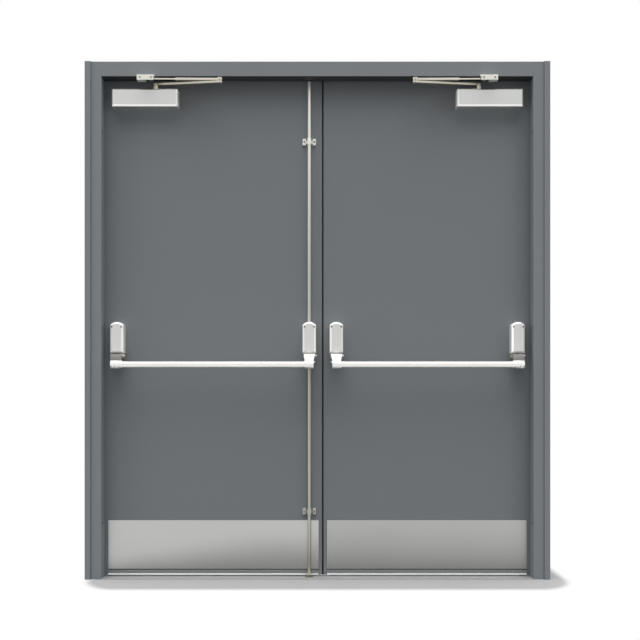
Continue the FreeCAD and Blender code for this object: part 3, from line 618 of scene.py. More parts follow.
@dataclass(frozen=True)
class Rubber(Finish):
    """Matt black rubber with a dusty bloom."""

    bloom_scale: float = 700.0
    bloom_share: float = 0.12
    bloom_colour: Rgb = (120, 120, 118)
    bump: float = 0.2
    bump_depth_mm: float = 0.2
    gloss_span: Span = (0.62, 0.78)

    def surface(self, coat: Coat) -> None:
        """Add a fine bloom.

        Args:
            coat: the material so far.
        """
        peel = coat.effect(coat.effects.peel, Scale=self.bloom_scale)
        share = coat.desk.math("MULTIPLY", peel["Speckle"], self.bloom_share)
        coat.tint(share, linear(self.bloom_colour))
        coat.rough = coat.desk.spread(coat.drift, *self.gloss_span)
        coat.bump(peel["Height"], self.bump, self.bump_depth_mm)


@dataclass(frozen=True)
class Fibre(Finish):
    """Pale synthetic fibre, lighter and darker from strand to strand."""

    strand_tones: Span = (0.86, 1.08)
    gloss_span: Span = (0.4, 0.6)

    def surface(self, coat: Coat) -> None:
        """Add the strands' own tones.

        Args:
            coat: the material so far.
        """
        streak = coat.effect(coat.effects.grain, Stretch=Grain.ALONG_Z.value)["Streak"]
        coat.dim(coat.desk.spread(streak, *self.strand_tones))
        coat.rough = coat.desk.spread(coat.drift, *self.gloss_span)


@dataclass(frozen=True)
class Board(Finish):
    """Honeycomb board of a leaf's core: cells along the leaf's thickness."""

    cell_mm: float = 14.0
    wall_steepness: float = 1.6
    hollow_share: float = 0.6
    hollow_colour: Rgb = (96, 74, 48)
    bump: float = 0.5
    bump_depth_mm: float = -2.0
    gloss_span: Span = (0.8, 0.95)

    def surface(self, coat: Coat) -> None:
        """Add the cells' walls, and painted shade in their hollows.

        Args:
            coat: the material so far.
        """
        desk = coat.desk
        sockets = {"Vector": coat.place, "Scale": 1 / (self.cell_mm * MM)}
        cells = desk.add("TexVoronoi", sockets, feature="DISTANCE_TO_EDGE").outputs[0]
        # Painted shade: the hollows between the walls are mixed towards a dark brown.
        hollow = desk.spread(cells, 0.0, self.wall_steepness)
        share = desk.math("MULTIPLY", hollow, self.hollow_share, clamp=True)
        coat.tint(share, linear(self.hollow_colour))
        coat.rough = desk.spread(coat.drift, *self.gloss_span)
        coat.bump(hollow, self.bump, self.bump_depth_mm)


FINISHES = (
    BeadedPaint("frame_paint", (122, 126, 129), 0.5, tone=0.02, specular=0.25, rub=0.05),
    PowderCoat("leaf_paint", (114, 118, 121), 0.5, tone=0.02, specular=0.25, rub=0.03),
    PowderCoat("carrier_paint", (116, 120, 121), 0.42, tone=0.04, specular=0.3, rub=0.08),
    Board("core_board", (168, 138, 98), 0.9, tone=0.1, drift_scale=9.0),
    BrushedMetal("threshold_steel", (150, 151, 150), 0.5, metallic=0.25, grain=Grain.ALONG_X, line=0.06),
    PowderCoat("hinge_coat", (128, 131, 132), 0.45, tone=0.04, specular=0.3, rub=0.25),
    # The two kick plates are one steel in a lit and a shaded copy: the left one is painted lighter with a
    # brighter rim, and both are painted darker towards the foot as a painted reflection of the floor's
    # shadow.
    WornFoot(
        "left_kick_steel", (196, 196, 194), 0.36, rub=0.35, rub_radius_mm=4.0,
        grain=Grain.ALONG_X, line=0.03, foot=0.045, top=0.215, foot_share=0.62,
        lean=0.11, lean_from=-0.071, lean_span=0.764,
    ),
    WornFoot(
        "right_kick_steel", (182, 182, 180), 0.36, rub=0.25, rub_radius_mm=4.0,
        grain=Grain.ALONG_X, line=0.03, foot_share=0.68,
    ),
    Fibre("brush_fibre", (252, 252, 250), 0.5, tone=0.02, drift_scale=30.0),
    PolishedBevel("closer_silver", (229, 229, 227), 0.34, rub=0.5, line=0.02, painted_ends=True),
    PolishedBevel("cover_silver", (222, 222, 219), 0.3, metallic=0.35, rub=0.6, line=0.03),
    BrushedMetal(
        "bar_bright", (252, 251, 247), 0.26, metallic=0.68, grain=Grain.ALONG_X, line=0.01, bump=0.02
    ),
    # The lock-side and hinge-side arms are one metal; the hinge-side copy has its neck in painted shade.
    BrushedMetal("arm_bright", (250, 250, 248), 0.3, metallic=0.6, line=0.008, bump=0.01),
    CastNeck("cast_neck", (250, 250, 248), 0.3, metallic=0.6, line=0.008, bump=0.01),
    BrushedMetal("arm_steel", (206, 202, 190), 0.32, rub=0.3, line=0.05),
    BrushedMetal("shoe_steel", (240, 238, 230), 0.32, metallic=0.6, rub=0.4, line=0.03),
    # Painted shade: the guides are painted darker towards the floor.
    WornFoot(
        "guide_steel", (240, 239, 232), 0.34, metallic=0.5, rub=0.4, line=0.03,
        foot=0.3, top=1.7, foot_share=0.5,
    ),
    # Painted light: the keeps are painted lighter towards the floor.
    WornFoot("keep_steel", (112, 107, 99), 0.4, rub=0.2, line=0.05, foot=0.1, top=1.9, foot_share=1.9),
    BrushedMetal("rod_steel", (214, 210, 196), 0.3, grain=Grain.ALONG_Z, line=0.05),
    # The top and bottom rods are one steel in a lit and a shaded copy: the top rod is painted lighter and
    # darker towards its foot, the bottom rod darker and lighter at its very foot.
    WornFoot(
        "top_rod_steel", (238, 236, 228), 0.3, metallic=0.6, grain=Grain.ALONG_Z, line=0.05,
        foot=1.1, top=2.1, foot_share=0.62,
    ),
    WornFoot(
        "bottom_rod_steel", (178, 175, 162), 0.3, grain=Grain.ALONG_Z, line=0.05,
        foot=0.012, top=0.055, foot_share=1.6,
    ),
    BrushedMetal("nut_bright", (248, 248, 245), 0.26, metallic=0.6, line=0.02),
    BrushedMetal("screw_steel", (128, 125, 118), 0.34, rub=0.3, line=0.06),
    BrushedMetal("dark_steel", (40, 40, 39), 0.5, metallic=0.5, line=0.08),
    Rubber("seal_rubber", (52, 54, 55), 0.7),
)


def ring(count: int, radius: float, z: float, turn: float = 0.0) -> list[Vector]:
    """Give the corners of a regular ring, from the angle of its first one."""
    steps = [turn + 2 * math.pi * i / count for i in range(count)]
    return [Vector((radius * math.cos(a), radius * math.sin(a), z)) for a in steps]


def skin_rings(bm: bmesh.types.BMesh, rings: Sequence[Sequence[Vector]]) -> list[list[bmesh.types.BMVert]]:
    """Join rings of equal count with quads.

    Args:
        bm: the mesh that gets them.
        rings: the rings from one end to the other.

    Returns:
        The rings' vertices.
    """
    rows = [[bm.verts.new(p) for p in corners] for corners in rings]
    for low, high in zip(rows, rows[1:]):
        count = len(low)
        for i in range(count):
            j = (i + 1) % count
            bm.faces.new((low[i], low[j], high[j], high[i]))
    return rows


def closed_rings(rings: Sequence[Sequence[Vector]]) -> bmesh.types.BMesh:
    """Join rings with quads and close both ends.

    Args:
        rings: the rings from one end to the other.

    Returns:
        The mesh.
    """
    bm = bmesh.new()
    rows = skin_rings(bm, rings)
    bm.faces.new(list(reversed(rows[0])))
    bm.faces.new(rows[-1])
    return bm


def turned(profile: Outline, segments: int) -> bmesh.types.BMesh:
    """Turn a profile of radii and heights about Z, with flat ends."""
    return closed_rings([ring(segments, r, z) for r, z in profile])


def recess_outline(kind: Recess, radius: float) -> list[Vector]:
    """Give the outline of a screw's drive.

    Args:
        kind: the drive.
        radius: the head's radius.

    Returns:
        The outline's corners at height 0.
    """
    if kind is Recess.HEXAGON:
        return ring(HEXAGON_SIDES, 0.5 * radius, 0.0)
    arm = 0.58 * radius
    half = 0.15 * radius
    quarter = [(arm, -half), (arm, half), (half, half)]
    corners = []
    for i in range(4):
        spin = Matrix.Rotation(i * math.pi / 2, 3, "Z")
        corners += [spin @ Vector((x, y, 0.0)) for x, y in quarter]
    return corners


def screw_head(size_mm: Span, kind: Recess) -> bmesh.types.BMesh:
    """Make a screw's head that looks along Z, with its drive cut in.

    Args:
        size_mm: the head's radius, and how far it stands out.
        kind: the drive.

    Returns:
        The mesh.
    """
    radius, height = (v * MM for v in size_mm)
    bm = bmesh.new()
    profile = ((0.96, -0.2), (1.0, 0.1), (0.97, 0.55), (0.86, 0.86), (0.7, 1.0))
    rows = skin_rings(bm, [ring(ROUND_SIDES, r * radius, z * height) for r, z in profile])
    bm.faces.new(list(reversed(rows[0])))
    top = profile[-1][1] * height
    depth = 0.75 * height
    lip = [bm.verts.new(p + Vector((0, 0, top))) for p in recess_outline(kind, radius)]
    floor = [bm.verts.new(v.co - Vector((0, 0, depth))) for v in lip]
    count = len(lip)
    for i in range(count):
        j = (i + 1) % count
        bm.faces.new((lip[i], lip[j], floor[j], floor[i]))
    bm.faces.new(list(reversed(floor)))
    edges = []
    for loop in (rows[-1], lip):
        edges += [bm.edges.get((a, b)) for a, b in zip(loop, loop[1:] + loop[:1])]
    bmesh.ops.triangle_fill(bm, use_beauty=True, edges=edges)
    bmesh.ops.recalc_face_normals(bm, faces=bm.faces)
    return bm


def domed_nut(size_mm: Span) -> bmesh.types.BMesh:
    """Make a domed nut that looks along Z: a hexagon with chamfered corners, a collar and a dome.

    Args:
        size_mm: the hexagon's radius to its corners, and how far the nut stands out.

    Returns:
        The mesh.
    """
    radius, length = (v * MM for v in size_mm)
    flat = 0.42 * length
    dome_radius = 0.78 * radius
    dome_end = math.radians(84)
    dome_steps = 6
    collar = (0.84 * radius, flat * 1.12)
    bm = turned(((0.9 * radius, 0.0), (radius, 0.08 * length), (radius, flat), collar), HEXAGON_SIDES)
    dome = []
    for i in range(dome_steps + 1):
        angle = i / dome_steps * dome_end
        dome.append((dome_radius * math.cos(angle), flat + (length - flat) * math.sin(angle)))
    cap = turned(dome, ROUND_SIDES)
    joined = bpy.data.meshes.new("dome")
    cap.to_mesh(joined)
    bm.from_mesh(joined)
    cap.free()
    bpy.data.meshes.remove(joined)
    return bm


def rivet(size_mm: Span) -> bmesh.types.BMesh:
    """Make a rivet's round head that looks along Z.

    Args:
        size_mm: the head's radius, and how far it stands out.

    Returns:
        The mesh.
    """
    radius, height = (v * MM for v in size_mm)
    steps = [math.radians(a) for a in (0, 18, 36, 54, 70, 82)]
    profile = [(radius, -0.1 * height)]
    profile += [(radius * math.cos(a), height * math.sin(a)) for a in steps]
    return turned(profile, RIVET_SIDES)


def drawn(outline: Outline, low: float, high: float) -> bmesh.types.BMesh:
    """Draw a closed outline in X and Y along Z.

    Args:
        outline: the corners in order.
        low: the start along Z.
        high: the end along Z.

    Returns:
        The mesh, with closed ends.
    """
    bm = closed_rings([[Vector((x, y, z)) for x, y in outline] for z in (low, high)])
    bmesh.ops.recalc_face_normals(bm, faces=bm.faces)
    return bm


def looking(at: Vector, along: Vector, spin: float = 0.0) -> Matrix:
    """Give the place of a piece that was made to look along Z: its foot, its way and its spin."""
    turn = along.to_track_quat("Z", "Y").to_matrix().to_4x4()
    return Matrix.Translation(at) @ turn @ Matrix.Rotation(spin, 4, "Z")


def copies(pattern: bmesh.types.BMesh, places: Iterable[Matrix]) -> bmesh.types.BMesh:
    """Join several copies of a mesh.

    Args:
        pattern: the mesh to copy, which is used up.
        places: where each copy goes.

    Returns:
        The mesh of all copies.
    """
    sample = bpy.data.meshes.new("pattern")
    pattern.to_mesh(sample)
    pattern.free()
    bm = bmesh.new()
    for place in places:
        copy = sample.copy()
        copy.transform(place)
        bm.from_mesh(copy)
        bpy.data.meshes.remove(copy)
    bpy.data.meshes.remove(sample)
    return bm


@dataclass
class Workshop:
    """Makes pieces, dresses nodes and keeps count."""

    frame: dict
    smooth_angle: float = math.radians(38)
    weld_mm: float = 0.01
    flat_angle: float = math.radians(0.6)
    sharp_angle: float = math.radians(30)
    soft_steps: int = 3
    materials: dict[str, bpy.types.Material] = field(default_factory=dict)
    made: int = 0

    def __post_init__(self) -> None:
        """Make every finish once."""
        effects = Effects()
        self.materials = {finish.name: finish.material(effects) for finish in FINISHES}

    def dress(self, node: str, finish: str, soften_mm: float = 0.0) -> None:
        """Give a node its finish and, where asked, softer edges.

        Args:
            node: the node's name.
            finish: the finish's name.
            soften_mm: how far its sharp edges are rounded.
        """
        thing = self.frame["nodes"][node]
        thing.data.materials.clear()
        thing.data.materials.append(self.materials[finish])
        if soften_mm:
            weld = thing.modifiers.new("weld", "WELD")
            weld.merge_threshold = self.weld_mm * MM
            flat = thing.modifiers.new("flat", "DECIMATE")
            flat.decimate_type = "DISSOLVE"
            flat.angle_limit = self.flat_angle
            soft = thing.modifiers.new("soft", "BEVEL")
            soft.width = soften_mm * MM
            soft.segments = self.soft_steps
            soft.limit_method = "ANGLE"
            soft.angle_limit = self.sharp_angle
            soft.harden_normals = True
        LOG.info("dressed %s in %s", node, finish)

    def piece(
        self, name: str, bm: bmesh.types.BMesh, finish: str, body: str, slot: str = "arm_steel"
    ) -> bpy.types.Object:
        """Turn a mesh into a piece that rides on a body.

        Args:
            name: the piece's name.
            bm: its mesh, which is used up.
            finish: the finish's name.
            body: the body that carries it.
            slot: the record's material slot; not used.

        Returns:
            The piece.
        """
        for face in bm.faces:
            face.smooth = True
        for edge in bm.edges:
            edge.smooth = len(edge.link_faces) == 2 and edge.calc_face_angle() < self.smooth_angle
        mesh = bpy.data.meshes.new(name)
        bm.to_mesh(mesh)
        bm.free()
        mesh.materials.append(self.materials[finish])
        thing = bpy.data.objects.new(name, mesh)
        bpy.context.scene.collection.objects.link(thing)
        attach(thing, body)
        self.made += 1
        LOG.info("made %s on %s, %d faces", name, body, len(mesh.polygons))
        return thing


FRONT = Vector((0, -1, 0))
UP = Vector((0, 0, 1))
RIGHTWARDS = Vector((1, 0, 0))


@dataclass
class DoorFrame:
    """Jambs, head, threshold and the bolts' keeps."""

    shop: Workshop
    fixing_y_mm: float = -44.0
    fixing_z_mm: tuple[float, ...] = (225.0, 1022.5, 1820.0)
    fixing_head_mm: Span = (7.7, 2.0)
    fixing_foot_mm: float = 2.8
    fixing_spin: float = 0.2

    def build(self) -> None:
        """Dress the frame's nodes and put a dark fixing in each hole of the reveals."""
        for node in ("left_jamb", "right_jamb", "frame_head"):
            self.shop.dress(node, "frame_paint", soften_mm=0.5)
        self.shop.dress("threshold_plate", "threshold_steel", soften_mm=0.4)
        self.shop.dress("bolt_keeps", "keep_steel", soften_mm=0.4)
        _, plate_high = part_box("threshold_plate")
        behind = plate_high.x + self.fixing_foot_mm * MM
        for side in Side:
            way = Vector((-side.value, 0, 0))
            x, y = side.value * behind, self.fixing_y_mm * MM
            places = [
                looking(Vector((x, y, z * MM)), way, self.fixing_spin * i)
                for i, z in enumerate(self.fixing_z_mm)
            ]
            head = screw_head(self.fixing_head_mm, Recess.HEXAGON)
            name = f"{side.word}_jamb_fixings"
            self.shop.piece(name, copies(head, places), "dark_steel", "frame", "frame_paint")


@dataclass
class Leaf:
    """One flush leaf with its hinges, kick plate, meeting seal and bottom seal."""

    shop: Workshop
    side: Side
    seal_reach_mm: float = 4.4
    seal_front_mm: float = 12.0
    seal_back_mm: float = 24.0
    seal_below_mm: float = 4.0
    seal_short_mm: float = 1.0
    seal_steps: int = 8
    seal_fullness: float = 0.6
    seal_root: float = 0.3
    lip_front_mm: float = 2.2
    lip_taper: float = 0.6
    blade_front_mm: float = 5.0
    blade_drop_mm: float = 2.0
    blade_thick_mm: float = 0.9
    blade_tip_mm: float = 0.4
    blade_shoulder: float = 0.8
    bristle_rows: int = 3
    bristle_pitch_mm: float = 0.6
    bristle_width_mm: float = 0.58
    bristle_foot_share: float = 1.3
    bristle_scatter: float = 0.3
    bristle_lean_mm: float = 0.3
    bristle_lean_back: float = 0.4
    bristle_uneven_mm: float = 0.4
    bristle_end_mm: float = 1.0

    def build(self) -> None:
        """Dress the leaf and add its seals."""
        word = self.side.word
        for layer in ("push_skin", "pull_skin"):
            self.shop.dress(f"{word}_{layer}", "leaf_paint", soften_mm=0.5)
        self.shop.dress(f"{word}_leaf_core", "core_board")
        self.shop.dress(f"{word}_kick_plate", f"{word}_kick_steel", soften_mm=0.5)
        self.shop.dress(f"{word}_seal_carrier", "carrier_paint", soften_mm=0.8)
        for part in ("frame_hinges", "leaf_hinges"):
            self.shop.dress(f"{word}_{part}", "hinge_coat")
        self.meeting_seal()
        self.carrier_lips()
        self.bottom_brush()

    def meeting_seal(self) -> None:
        """Run a rubber bulb along the leaf's meeting edge."""
        word = self.side.word
        low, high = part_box(f"{word}_push_skin")
        edge = high.x if self.side is Side.LEFT else low.x
        reach = -self.side.value * self.seal_reach_mm * MM
        front, back = self.seal_front_mm * MM, self.seal_back_mm * MM
        middle, half = (front + back) / 2, (back - front) / 2
        outline = [(edge, front)]
        for i in range(self.seal_steps + 1):
            angle = -math.pi / 2 + math.pi * i / self.seal_steps
            inside = 0 < i < self.seal_steps
            bulge = math.cos(angle) ** self.seal_fullness if inside else self.seal_root
            outline.append((edge + reach * bulge, middle + half * math.sin(angle)))
        outline.append((edge, back))
        bm = drawn(outline, low.z - self.seal_below_mm * MM, high.z - self.seal_short_mm * MM)
        self.shop.piece(f"{word}_meeting_seal", bm, "seal_rubber", f"{word}_leaf", "carrier_paint")

    def carrier_lips(self) -> None:
        """Fill the joint above the seal's carrier with dark rubber, and hang a short dark rubber blade below
        it, as painted shade on the lines above and below the carrier.
        """
        word = self.side.word
        low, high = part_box(f"{word}_seal_carrier")
        kick_low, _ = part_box(f"{word}_kick_plate")
        front, blade = -self.lip_front_mm * MM, -self.blade_front_mm * MM
        tip, back = blade + self.blade_tip_mm * MM, blade + self.blade_thick_mm * MM
        drop = self.blade_drop_mm * MM
        shoulder = low.z - self.blade_shoulder * drop
        top, foot = high.z, kick_low.z
        # Painted shade: both sections are dark rubber laid where the lines above and below the carrier are
        # shade.
        sections = {
            "filler": [(0.0, top), (front, top), (self.lip_taper * front, foot), (0.0, foot)],
            "blade": [
                (blade, low.z),
                (blade, shoulder),
                (tip, low.z - drop),
                (back, shoulder),
                (back, low.z),
            ],
        }
        along_x = Matrix(((0, 0, 1, 0), (1, 0, 0, 0), (0, 1, 0, 0), (0, 0, 0, 1)))
        for name, section in sections.items():
            bm = drawn(section, low.x, high.x)
            bm.transform(along_x)
            self.shop.piece(f"{word}_seal_{name}", bm, "seal_rubber", f"{word}_leaf", "carrier_paint")

    def bottom_brush(self) -> None:
        """Set rows of bristles in place of the brush's plain solid."""
        word = self.side.word
        node = f"{word}_seal_brush"
        low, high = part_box(node)
        draw = random.Random(SEED + self.side.value)
        half = self.bristle_width_mm * MM / 2
        end = self.bristle_end_mm * MM
        head_ring = ring(4, math.sqrt(2) * half, 0.0, math.pi / 4)
        foot_ring = ring(4, self.bristle_foot_share * half, 0.0, math.pi / 4)
        bm = bmesh.new()
        count = int((high.x - low.x) / (self.bristle_pitch_mm * MM))
        for row in range(self.bristle_rows):
            y = low.y + (row + 0.5) / self.bristle_rows * (high.y - low.y)
            for i in range(count):
                share = (i + 0.5 + self.bristle_scatter * draw.uniform(-1, 1)) / count
                x = min(max(low.x + share * (high.x - low.x), low.x + end), high.x - end)
                lean = Vector((draw.uniform(-1, 1), self.bristle_lean_back * draw.uniform(-1, 1), 0))
                tip = Vector((x, y, low.z + self.bristle_uneven_mm * draw.random() * MM))
                foot = tip + lean * self.bristle_lean_mm * MM
                foot.x = min(max(foot.x, low.x + half), high.x - half)
                foot.y = min(max(foot.y, low.y + half), high.y - half)
                top = Vector((x, y, high.z))
                skin_rings(bm, [[top + p for p in head_ring], [foot + p for p in foot_ring]])
        brush = self.shop.piece(f"{node}_bristles", bm, "brush_fibre", f"{word}_leaf", "brush_fibre")
        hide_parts(node)


@dataclass
class Closer:
    """One overhead closer: body, arms and shoe, with the screws that show."""

    shop: Workshop
    side: Side
    spindle_mm: Place = (662.0, -27.0, 2025.0)
    spindle_screw_mm: Span = (6.5, 1.7)
    elbow_mm: Place = (394.0, -90.0, 2028.0)
    elbow_rivet_mm: Span = (8.0, 2.5)
    shoe_screws_mm: tuple[Place, ...] = ((672.0, -88.0, 2032.0), (717.0, -88.0, 2032.0))
    shoe_screw_mm: Span = (3.6, 1.6)
    shoe_screw_spin: float = 0.3

    def at(self, mm: Place) -> Vector:
        """A place given on the right leaf, on this side."""
        return Vector((self.side.value * mm[0], mm[1], mm[2])) * MM

    def build(self) -> None:
        """Dress the closer and add its fasteners."""
        word = self.side.word
        self.shop.dress(f"{word}_closer_body", "closer_silver", soften_mm=0.7)
        for node in ("closer_main_arm", "closer_forearm"):
            self.shop.dress(f"{word}_{node}", "rod_steel")
        self.shop.dress(f"{word}_closer_shoe", "shoe_steel", soften_mm=0.5)
        cap = screw_head(self.spindle_screw_mm, Recess.HEXAGON)
        places = [looking(self.at(self.spindle_mm), UP)]
        self.shop.piece(f"{word}_spindle_screw", copies(cap, places), "screw_steel", f"{word}_main_arm")
        head = rivet(self.elbow_rivet_mm)
        places = [looking(self.at(self.elbow_mm), UP)]
        self.shop.piece(f"{word}_elbow_rivet", copies(head, places), "arm_steel", f"{word}_forearm")
        head = screw_head(self.shoe_screw_mm, Recess.CROSS)
        places = [looking(self.at(place), FRONT, self.shoe_screw_spin) for place in self.shoe_screws_mm]
        self.shop.piece(f"{word}_shoe_screws", copies(head, places), "screw_steel", "frame")


@dataclass
class PushBar:
    """One push bar with its two housings, their screws and pivots."""

    shop: Workshop
    side: Side
    pivot_mm: Span = (-36.0, 911.0)
    pivot_nut_mm: Span = (5.6, 15.0)
    bar_mm: Span = (-102.0, 872.0)
    cheek_mm: float = 17.0
    cover_screw_mm: Span = (3.3, 0.8)
    cover_screw_across_mm: float = 19.5
    cover_screw_drop_mm: float = 20.0
    cover_screw_spin: float = 0.5
    sleeve_mm: float = 36.0
    sleeve_bolt_mm: Span = (4.6, 7.0)
    sleeve_bolt_rise_mm: float = 10.0
    set_screw_mm: Span = (2.6, 0.7)
    set_screws_across_mm: Span = (-7.0, 6.0)
    set_screw_out_mm: float = 16.3
    set_screw_dip: float = math.radians(30)

    def build(self) -> None:
        """Dress the bar and its housings, and add their fasteners."""
        word = self.side.word
        self.shop.dress(f"{word}_push_bar", "bar_bright")
        for station, arm_finish in (("hinge_side", "cast_neck"), ("lock_side", "arm_bright")):
            name = f"{word}_{station}"
            self.shop.dress(f"{name}_cover", "cover_silver", soften_mm=0.6)
            self.shop.dress(f"{name}_bracket", "arm_steel", soften_mm=0.4)
            self.shop.dress(f"{name}_arm", arm_finish, soften_mm=0.8)
            self.cover_screws(name)
            self.pivot_nut(name)
        self.sleeve_bolt()
        self.set_screws()

    @staticmethod
    def middle(name: str) -> float:
        """The X of a housing's middle."""
        low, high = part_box(f"{name}_cover")
        return (low.x + high.x) / 2

    def cover_screws(self, name: str) -> None:
        """Put two small screws near the top of a cover.

        Args:
            name: the housing's name.
        """
        low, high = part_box(f"{name}_cover")
        x, across = self.middle(name), self.cover_screw_across_mm * MM
        z = high.z - self.cover_screw_drop_mm * MM
        places = [
            looking(Vector((x + sign * across, low.y, z)), FRONT, self.cover_screw_spin * sign)
            for sign in (-1, 1)
        ]
        head = screw_head(self.cover_screw_mm, Recess.CROSS)
        self.shop.piece(f"{name}_cover_screws", copies(head, places), "dark_steel", f"{self.side.word}_leaf")

    def pivot_nut(self, name: str) -> None:
        """Put the domed nut on the right end of a housing's pivot.

        Args:
            name: the housing's name.
        """
        y, z = (v * MM for v in self.pivot_mm)
        places = [looking(Vector((self.middle(name) + self.cheek_mm * MM, y, z)), RIGHTWARDS)]
        nut = domed_nut(self.pivot_nut_mm)
        self.shop.piece(f"{name}_pivot_nut", copies(nut, places), "nut_bright", f"{self.side.word}_leaf")

    def sleeve_bolt(self) -> None:
        """Put a bolt in the end of the sleeve nearest the meeting edge."""
        word = self.side.word
        low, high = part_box(f"{word}_push_bar")
        sleeve = self.sleeve_mm * MM
        end = high.x + sleeve if self.side is Side.LEFT else low.x - sleeve
        y, z = (v * MM for v in self.bar_mm)
        at = Vector((end, y, z + self.sleeve_bolt_rise_mm * MM))
        places = [looking(at, Vector((-self.side.value, 0, 0)))]
        bolt = domed_nut(self.sleeve_bolt_mm)
        self.shop.piece(f"{word}_sleeve_bolt", copies(bolt, places), "arm_steel", f"{word}_bar")

    def set_screws(self) -> None:
        """Put in the two socket screws that clamp the bar in the sleeve nearest the hinges."""
        word = self.side.word
        x = self.middle(f"{word}_hinge_side")
        y, z = (v * MM for v in self.bar_mm)
        out = Vector((0, -math.cos(self.set_screw_dip), -math.sin(self.set_screw_dip)))
        rise = out * self.set_screw_out_mm * MM
        places = [
            looking(Vector((x + self.side.value * across * MM, y, z)) + rise, out)
            for across in self.set_screws_across_mm
        ]
        head = screw_head(self.set_screw_mm, Recess.HEXAGON)
        self.shop.piece(f"{word}_set_screws", copies(head, places), "dark_steel", f"{word}_bar")


@dataclass
class VerticalBolts:
    """The two rods on the left leaf, and their guides."""

    shop: Workshop
    guide_half_mm: float = 13.5
    lug_mm: float = 20.5
    lug_rise_mm: float = 8.0
    screw_mm: Span = (4.0, 1.4)
    screw_spin: float = 0.4

    def build(self) -> None:
        """Dress rods and guides, and screw the guides on."""
        self.shop.dress("top_bolt_rod", "top_rod_steel", soften_mm=0.8)
        self.shop.dress("bottom_bolt_rod", "bottom_rod_steel", soften_mm=0.8)
        self.shop.dress("rod_guides", "guide_steel", soften_mm=0.4)
        low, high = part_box("top_bolt_rod")
        x = (low.x + high.x) / 2
        guides_low, guides_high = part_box("rod_guides")
        half = self.guide_half_mm * MM
        lug, y = self.lug_mm * MM, -self.lug_rise_mm * MM
        places = [
            looking(Vector((x + sign * lug, y, z)), FRONT, self.screw_spin * sign)
            for z in (guides_low.z + half, guides_high.z - half)
            for sign in (-1, 1)
        ]
        head = screw_head(self.screw_mm, Recess.CROSS)
        self.shop.piece("guide_screws", copies(head, places), "screw_steel", "left_leaf")


@dataclass(frozen=True)
class Softbox:
    """One soft lamp."""

    name: str
    at: Place
    aim: Place
    size: Span
    power: float

    def build(self) -> None:
        """Add the lamp to the scene."""
        lamp = bpy.data.lights.new(self.name, "AREA")
        lamp.shape = "RECTANGLE"
        lamp.size, lamp.size_y = self.size
        lamp.energy = self.power
        thing = bpy.data.objects.new(self.name, lamp)
        thing.location = self.at
        way = Vector(self.aim) - Vector(self.at)
        thing.rotation_euler = way.to_track_quat("-Z", "Y").to_euler()
        bpy.context.scene.collection.objects.link(thing)


DOOR_MIDDLE = (0.0, 0.0, 1.1)


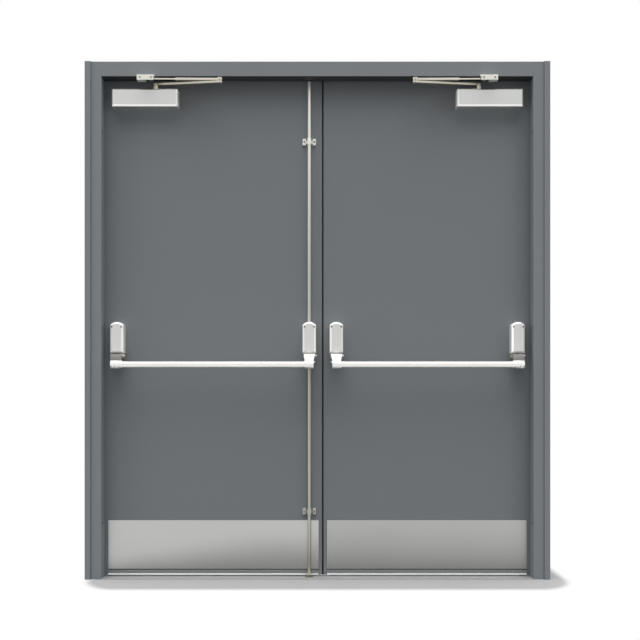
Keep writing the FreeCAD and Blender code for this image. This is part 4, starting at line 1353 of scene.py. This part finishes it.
@dataclass
class Studio:
    """A pale floor, a white world, soft lamps and the camera."""

    dome: float = 0.23
    dome_sides: float = 5.0
    overhead: float = 9.6
    overhead_spread: float = 10.0
    overhead_tilt: float = math.radians(13)
    behind_camera: float = 0.64
    behind_edge: Span = (-0.55, -0.97)
    lens_mm: float = 50.0
    sensor_mm: float = 36.0
    camera_at: Place = (0.0, -3.673, 0.750)
    shift: Span = (0.004, 0.117)
    floor_size: float = 30.0
    floor_seen: float = 0.29
    floor_bounce: float = 0.10
    shadow_middle: float = 0.04
    shadow_half_width: float = 0.82
    shadow_front: float = -0.06
    shadow_aside: float = 1.3
    shadow_behind: float = 0.16
    shadow_fade: Span = (0.16, 0.22)
    lamps: tuple[Softbox, ...] = (
        Softbox("left_strip", (-3.2, -0.9, 1.3), DOOR_MIDDLE, (0.7, 2.6), 12.0),
        Softbox("right_strip", (2.9, -1.7, 1.3), DOOR_MIDDLE, (0.7, 2.6), 5.0),
        Softbox("rear_box", (0.0, 4.2, 1.8), DOOR_MIDDLE, (3.6, 2.4), 85.0),
    )

    def build(self) -> None:
        """Set up the studio."""
        bpy.context.scene.view_settings.view_transform = "Standard"
        self.world()
        self.floor()
        for lamp in self.lamps:
            lamp.build()
        self.camera()

    def world(self) -> None:
        """Light the scene: white to the camera, white and grey to metal, a soft dome to the rest.

        Metal sees the grey behind the camera. The dome is brightest high in front and brighter at the
        sides, as large softboxes leave it.
        """
        world = bpy.data.worlds.new("studio")
        bpy.context.scene.world = world
        world.use_nodes = True
        desk = NodeDesk(world.node_tree)
        rays = desk.add("LightPath").outputs
        ray = desk.add("TexCoord").outputs["Generated"]
        way = desk.add("SeparateXYZ", {0: ray}).outputs
        behind = desk.ramp(way["Y"], *self.behind_edge)
        aside = desk.math("MULTIPLY", way["X"], way["X"])
        low = desk.math("MULTIPLY_ADD", aside, self.dome * self.dome_sides, addend=self.dome)
        high = (0.0, -math.sin(self.overhead_tilt), math.cos(self.overhead_tilt))
        facing = desk.add("VectorMath", {0: ray, 1: high}, operation="DOT_PRODUCT").outputs["Value"]
        box = desk.math("POWER", desk.math("MAXIMUM", facing, 0.0), self.overhead_spread)
        level = desk.math("MULTIPLY_ADD", box, self.overhead, addend=low)
        mirrored = desk.add("Background", {0: desk.mix(behind, WHITE, grey(self.behind_camera))})
        white = desk.add("Background", {0: WHITE})
        soft = desk.add("Background", {0: WHITE, 1: level})
        lit = desk.add("MixShader", {0: rays["Is Glossy Ray"], 1: soft.outputs[0], 2: mirrored.outputs[0]})
        seen = desk.math("MAXIMUM", rays["Is Camera Ray"], rays["Is Transmission Ray"])
        final = desk.add("MixShader", {0: seen, 1: lit.outputs[0], 2: white.outputs[0]})
        desk.add("OutputWorld", {0: final.outputs[0]})

    def floor(self) -> None:
        """Lay a pale floor that keeps the door's shadow near it and goes over to white further out."""
        bm = bmesh.new()
        bmesh.ops.create_grid(bm, x_segments=8, y_segments=8, size=self.floor_size / 2)
        mesh = bpy.data.meshes.new("studio_floor")
        bm.to_mesh(mesh)
        bm.free()
        thing = bpy.data.objects.new("studio_floor", mesh)
        bpy.context.scene.collection.objects.link(thing)
        material = bpy.data.materials.new("studio_floor")
        material.use_nodes = True
        mesh.materials.append(material)
        desk = NodeDesk(material.node_tree)
        rays = desk.add("LightPath").outputs
        parts = desk.add("SeparateXYZ", {0: desk.add("TexCoord").outputs["Object"]}).outputs
        across = desk.math("ABSOLUTE", desk.math("SUBTRACT", parts["X"], self.shadow_middle))
        aside = desk.math("SUBTRACT", across, self.shadow_half_width)
        aside = desk.math("MULTIPLY", aside, self.shadow_aside)
        ahead = desk.math("SUBTRACT", self.shadow_front, parts["Y"])
        behind = desk.math("MULTIPLY", parts["Y"], self.shadow_behind)
        deep = desk.math("MAXIMUM", desk.math("MAXIMUM", ahead, behind), 0.0)
        flat = desk.add("CombineXYZ", {0: desk.math("MAXIMUM", aside, 0.0), 1: deep})
        away = desk.add("VectorMath", {0: flat.outputs[0]}, operation="LENGTH").outputs["Value"]
        far = desk.ramp(away, *self.shadow_fade)
        seen = desk.math("MAXIMUM", rays["Is Camera Ray"], rays["Is Transmission Ray"])
        seen = desk.math("MAXIMUM", seen, rays["Is Glossy Ray"])
        tone = desk.mix(seen, grey(self.floor_bounce), grey(self.floor_seen))
        matt = desk.add("BsdfDiffuse", {"Color": tone})
        white = desk.add("Emission", {"Color": WHITE, "Strength": 1.0})
        share = desk.math("MULTIPLY", far, seen)
        mixed = desk.add("MixShader", {0: share, 1: matt.outputs[0], 2: white.outputs[0]})
        desk.add("OutputMaterial", {0: mixed.outputs[0]})

    def camera(self) -> None:
        """Stand the camera square to the door."""
        lens = bpy.data.cameras.new("camera")
        lens.lens = self.lens_mm
        lens.sensor_width = self.sensor_mm
        lens.shift_x, lens.shift_y = self.shift
        thing = bpy.data.objects.new("camera", lens)
        thing.location = self.camera_at
        thing.rotation_euler = (math.radians(90), 0, 0)
        bpy.context.scene.collection.objects.link(thing)
        bpy.context.scene.camera = thing


def main() -> None:
    """Build the door's looks and its studio."""
    logging.basicConfig(level=logging.INFO, format="%(name)s: %(message)s")
    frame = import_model()
    shop = Workshop(frame)
    Studio().build()
    DoorFrame(shop).build()
    for side in Side:
        Leaf(shop, side).build()
        Closer(shop, side).build()
        PushBar(shop, side).build()
    VerticalBolts(shop).build()
    LOG.info("%d pieces made, %d nodes dressed", shop.made, len(frame["nodes"]))


if __name__ == "__main__":
    main()
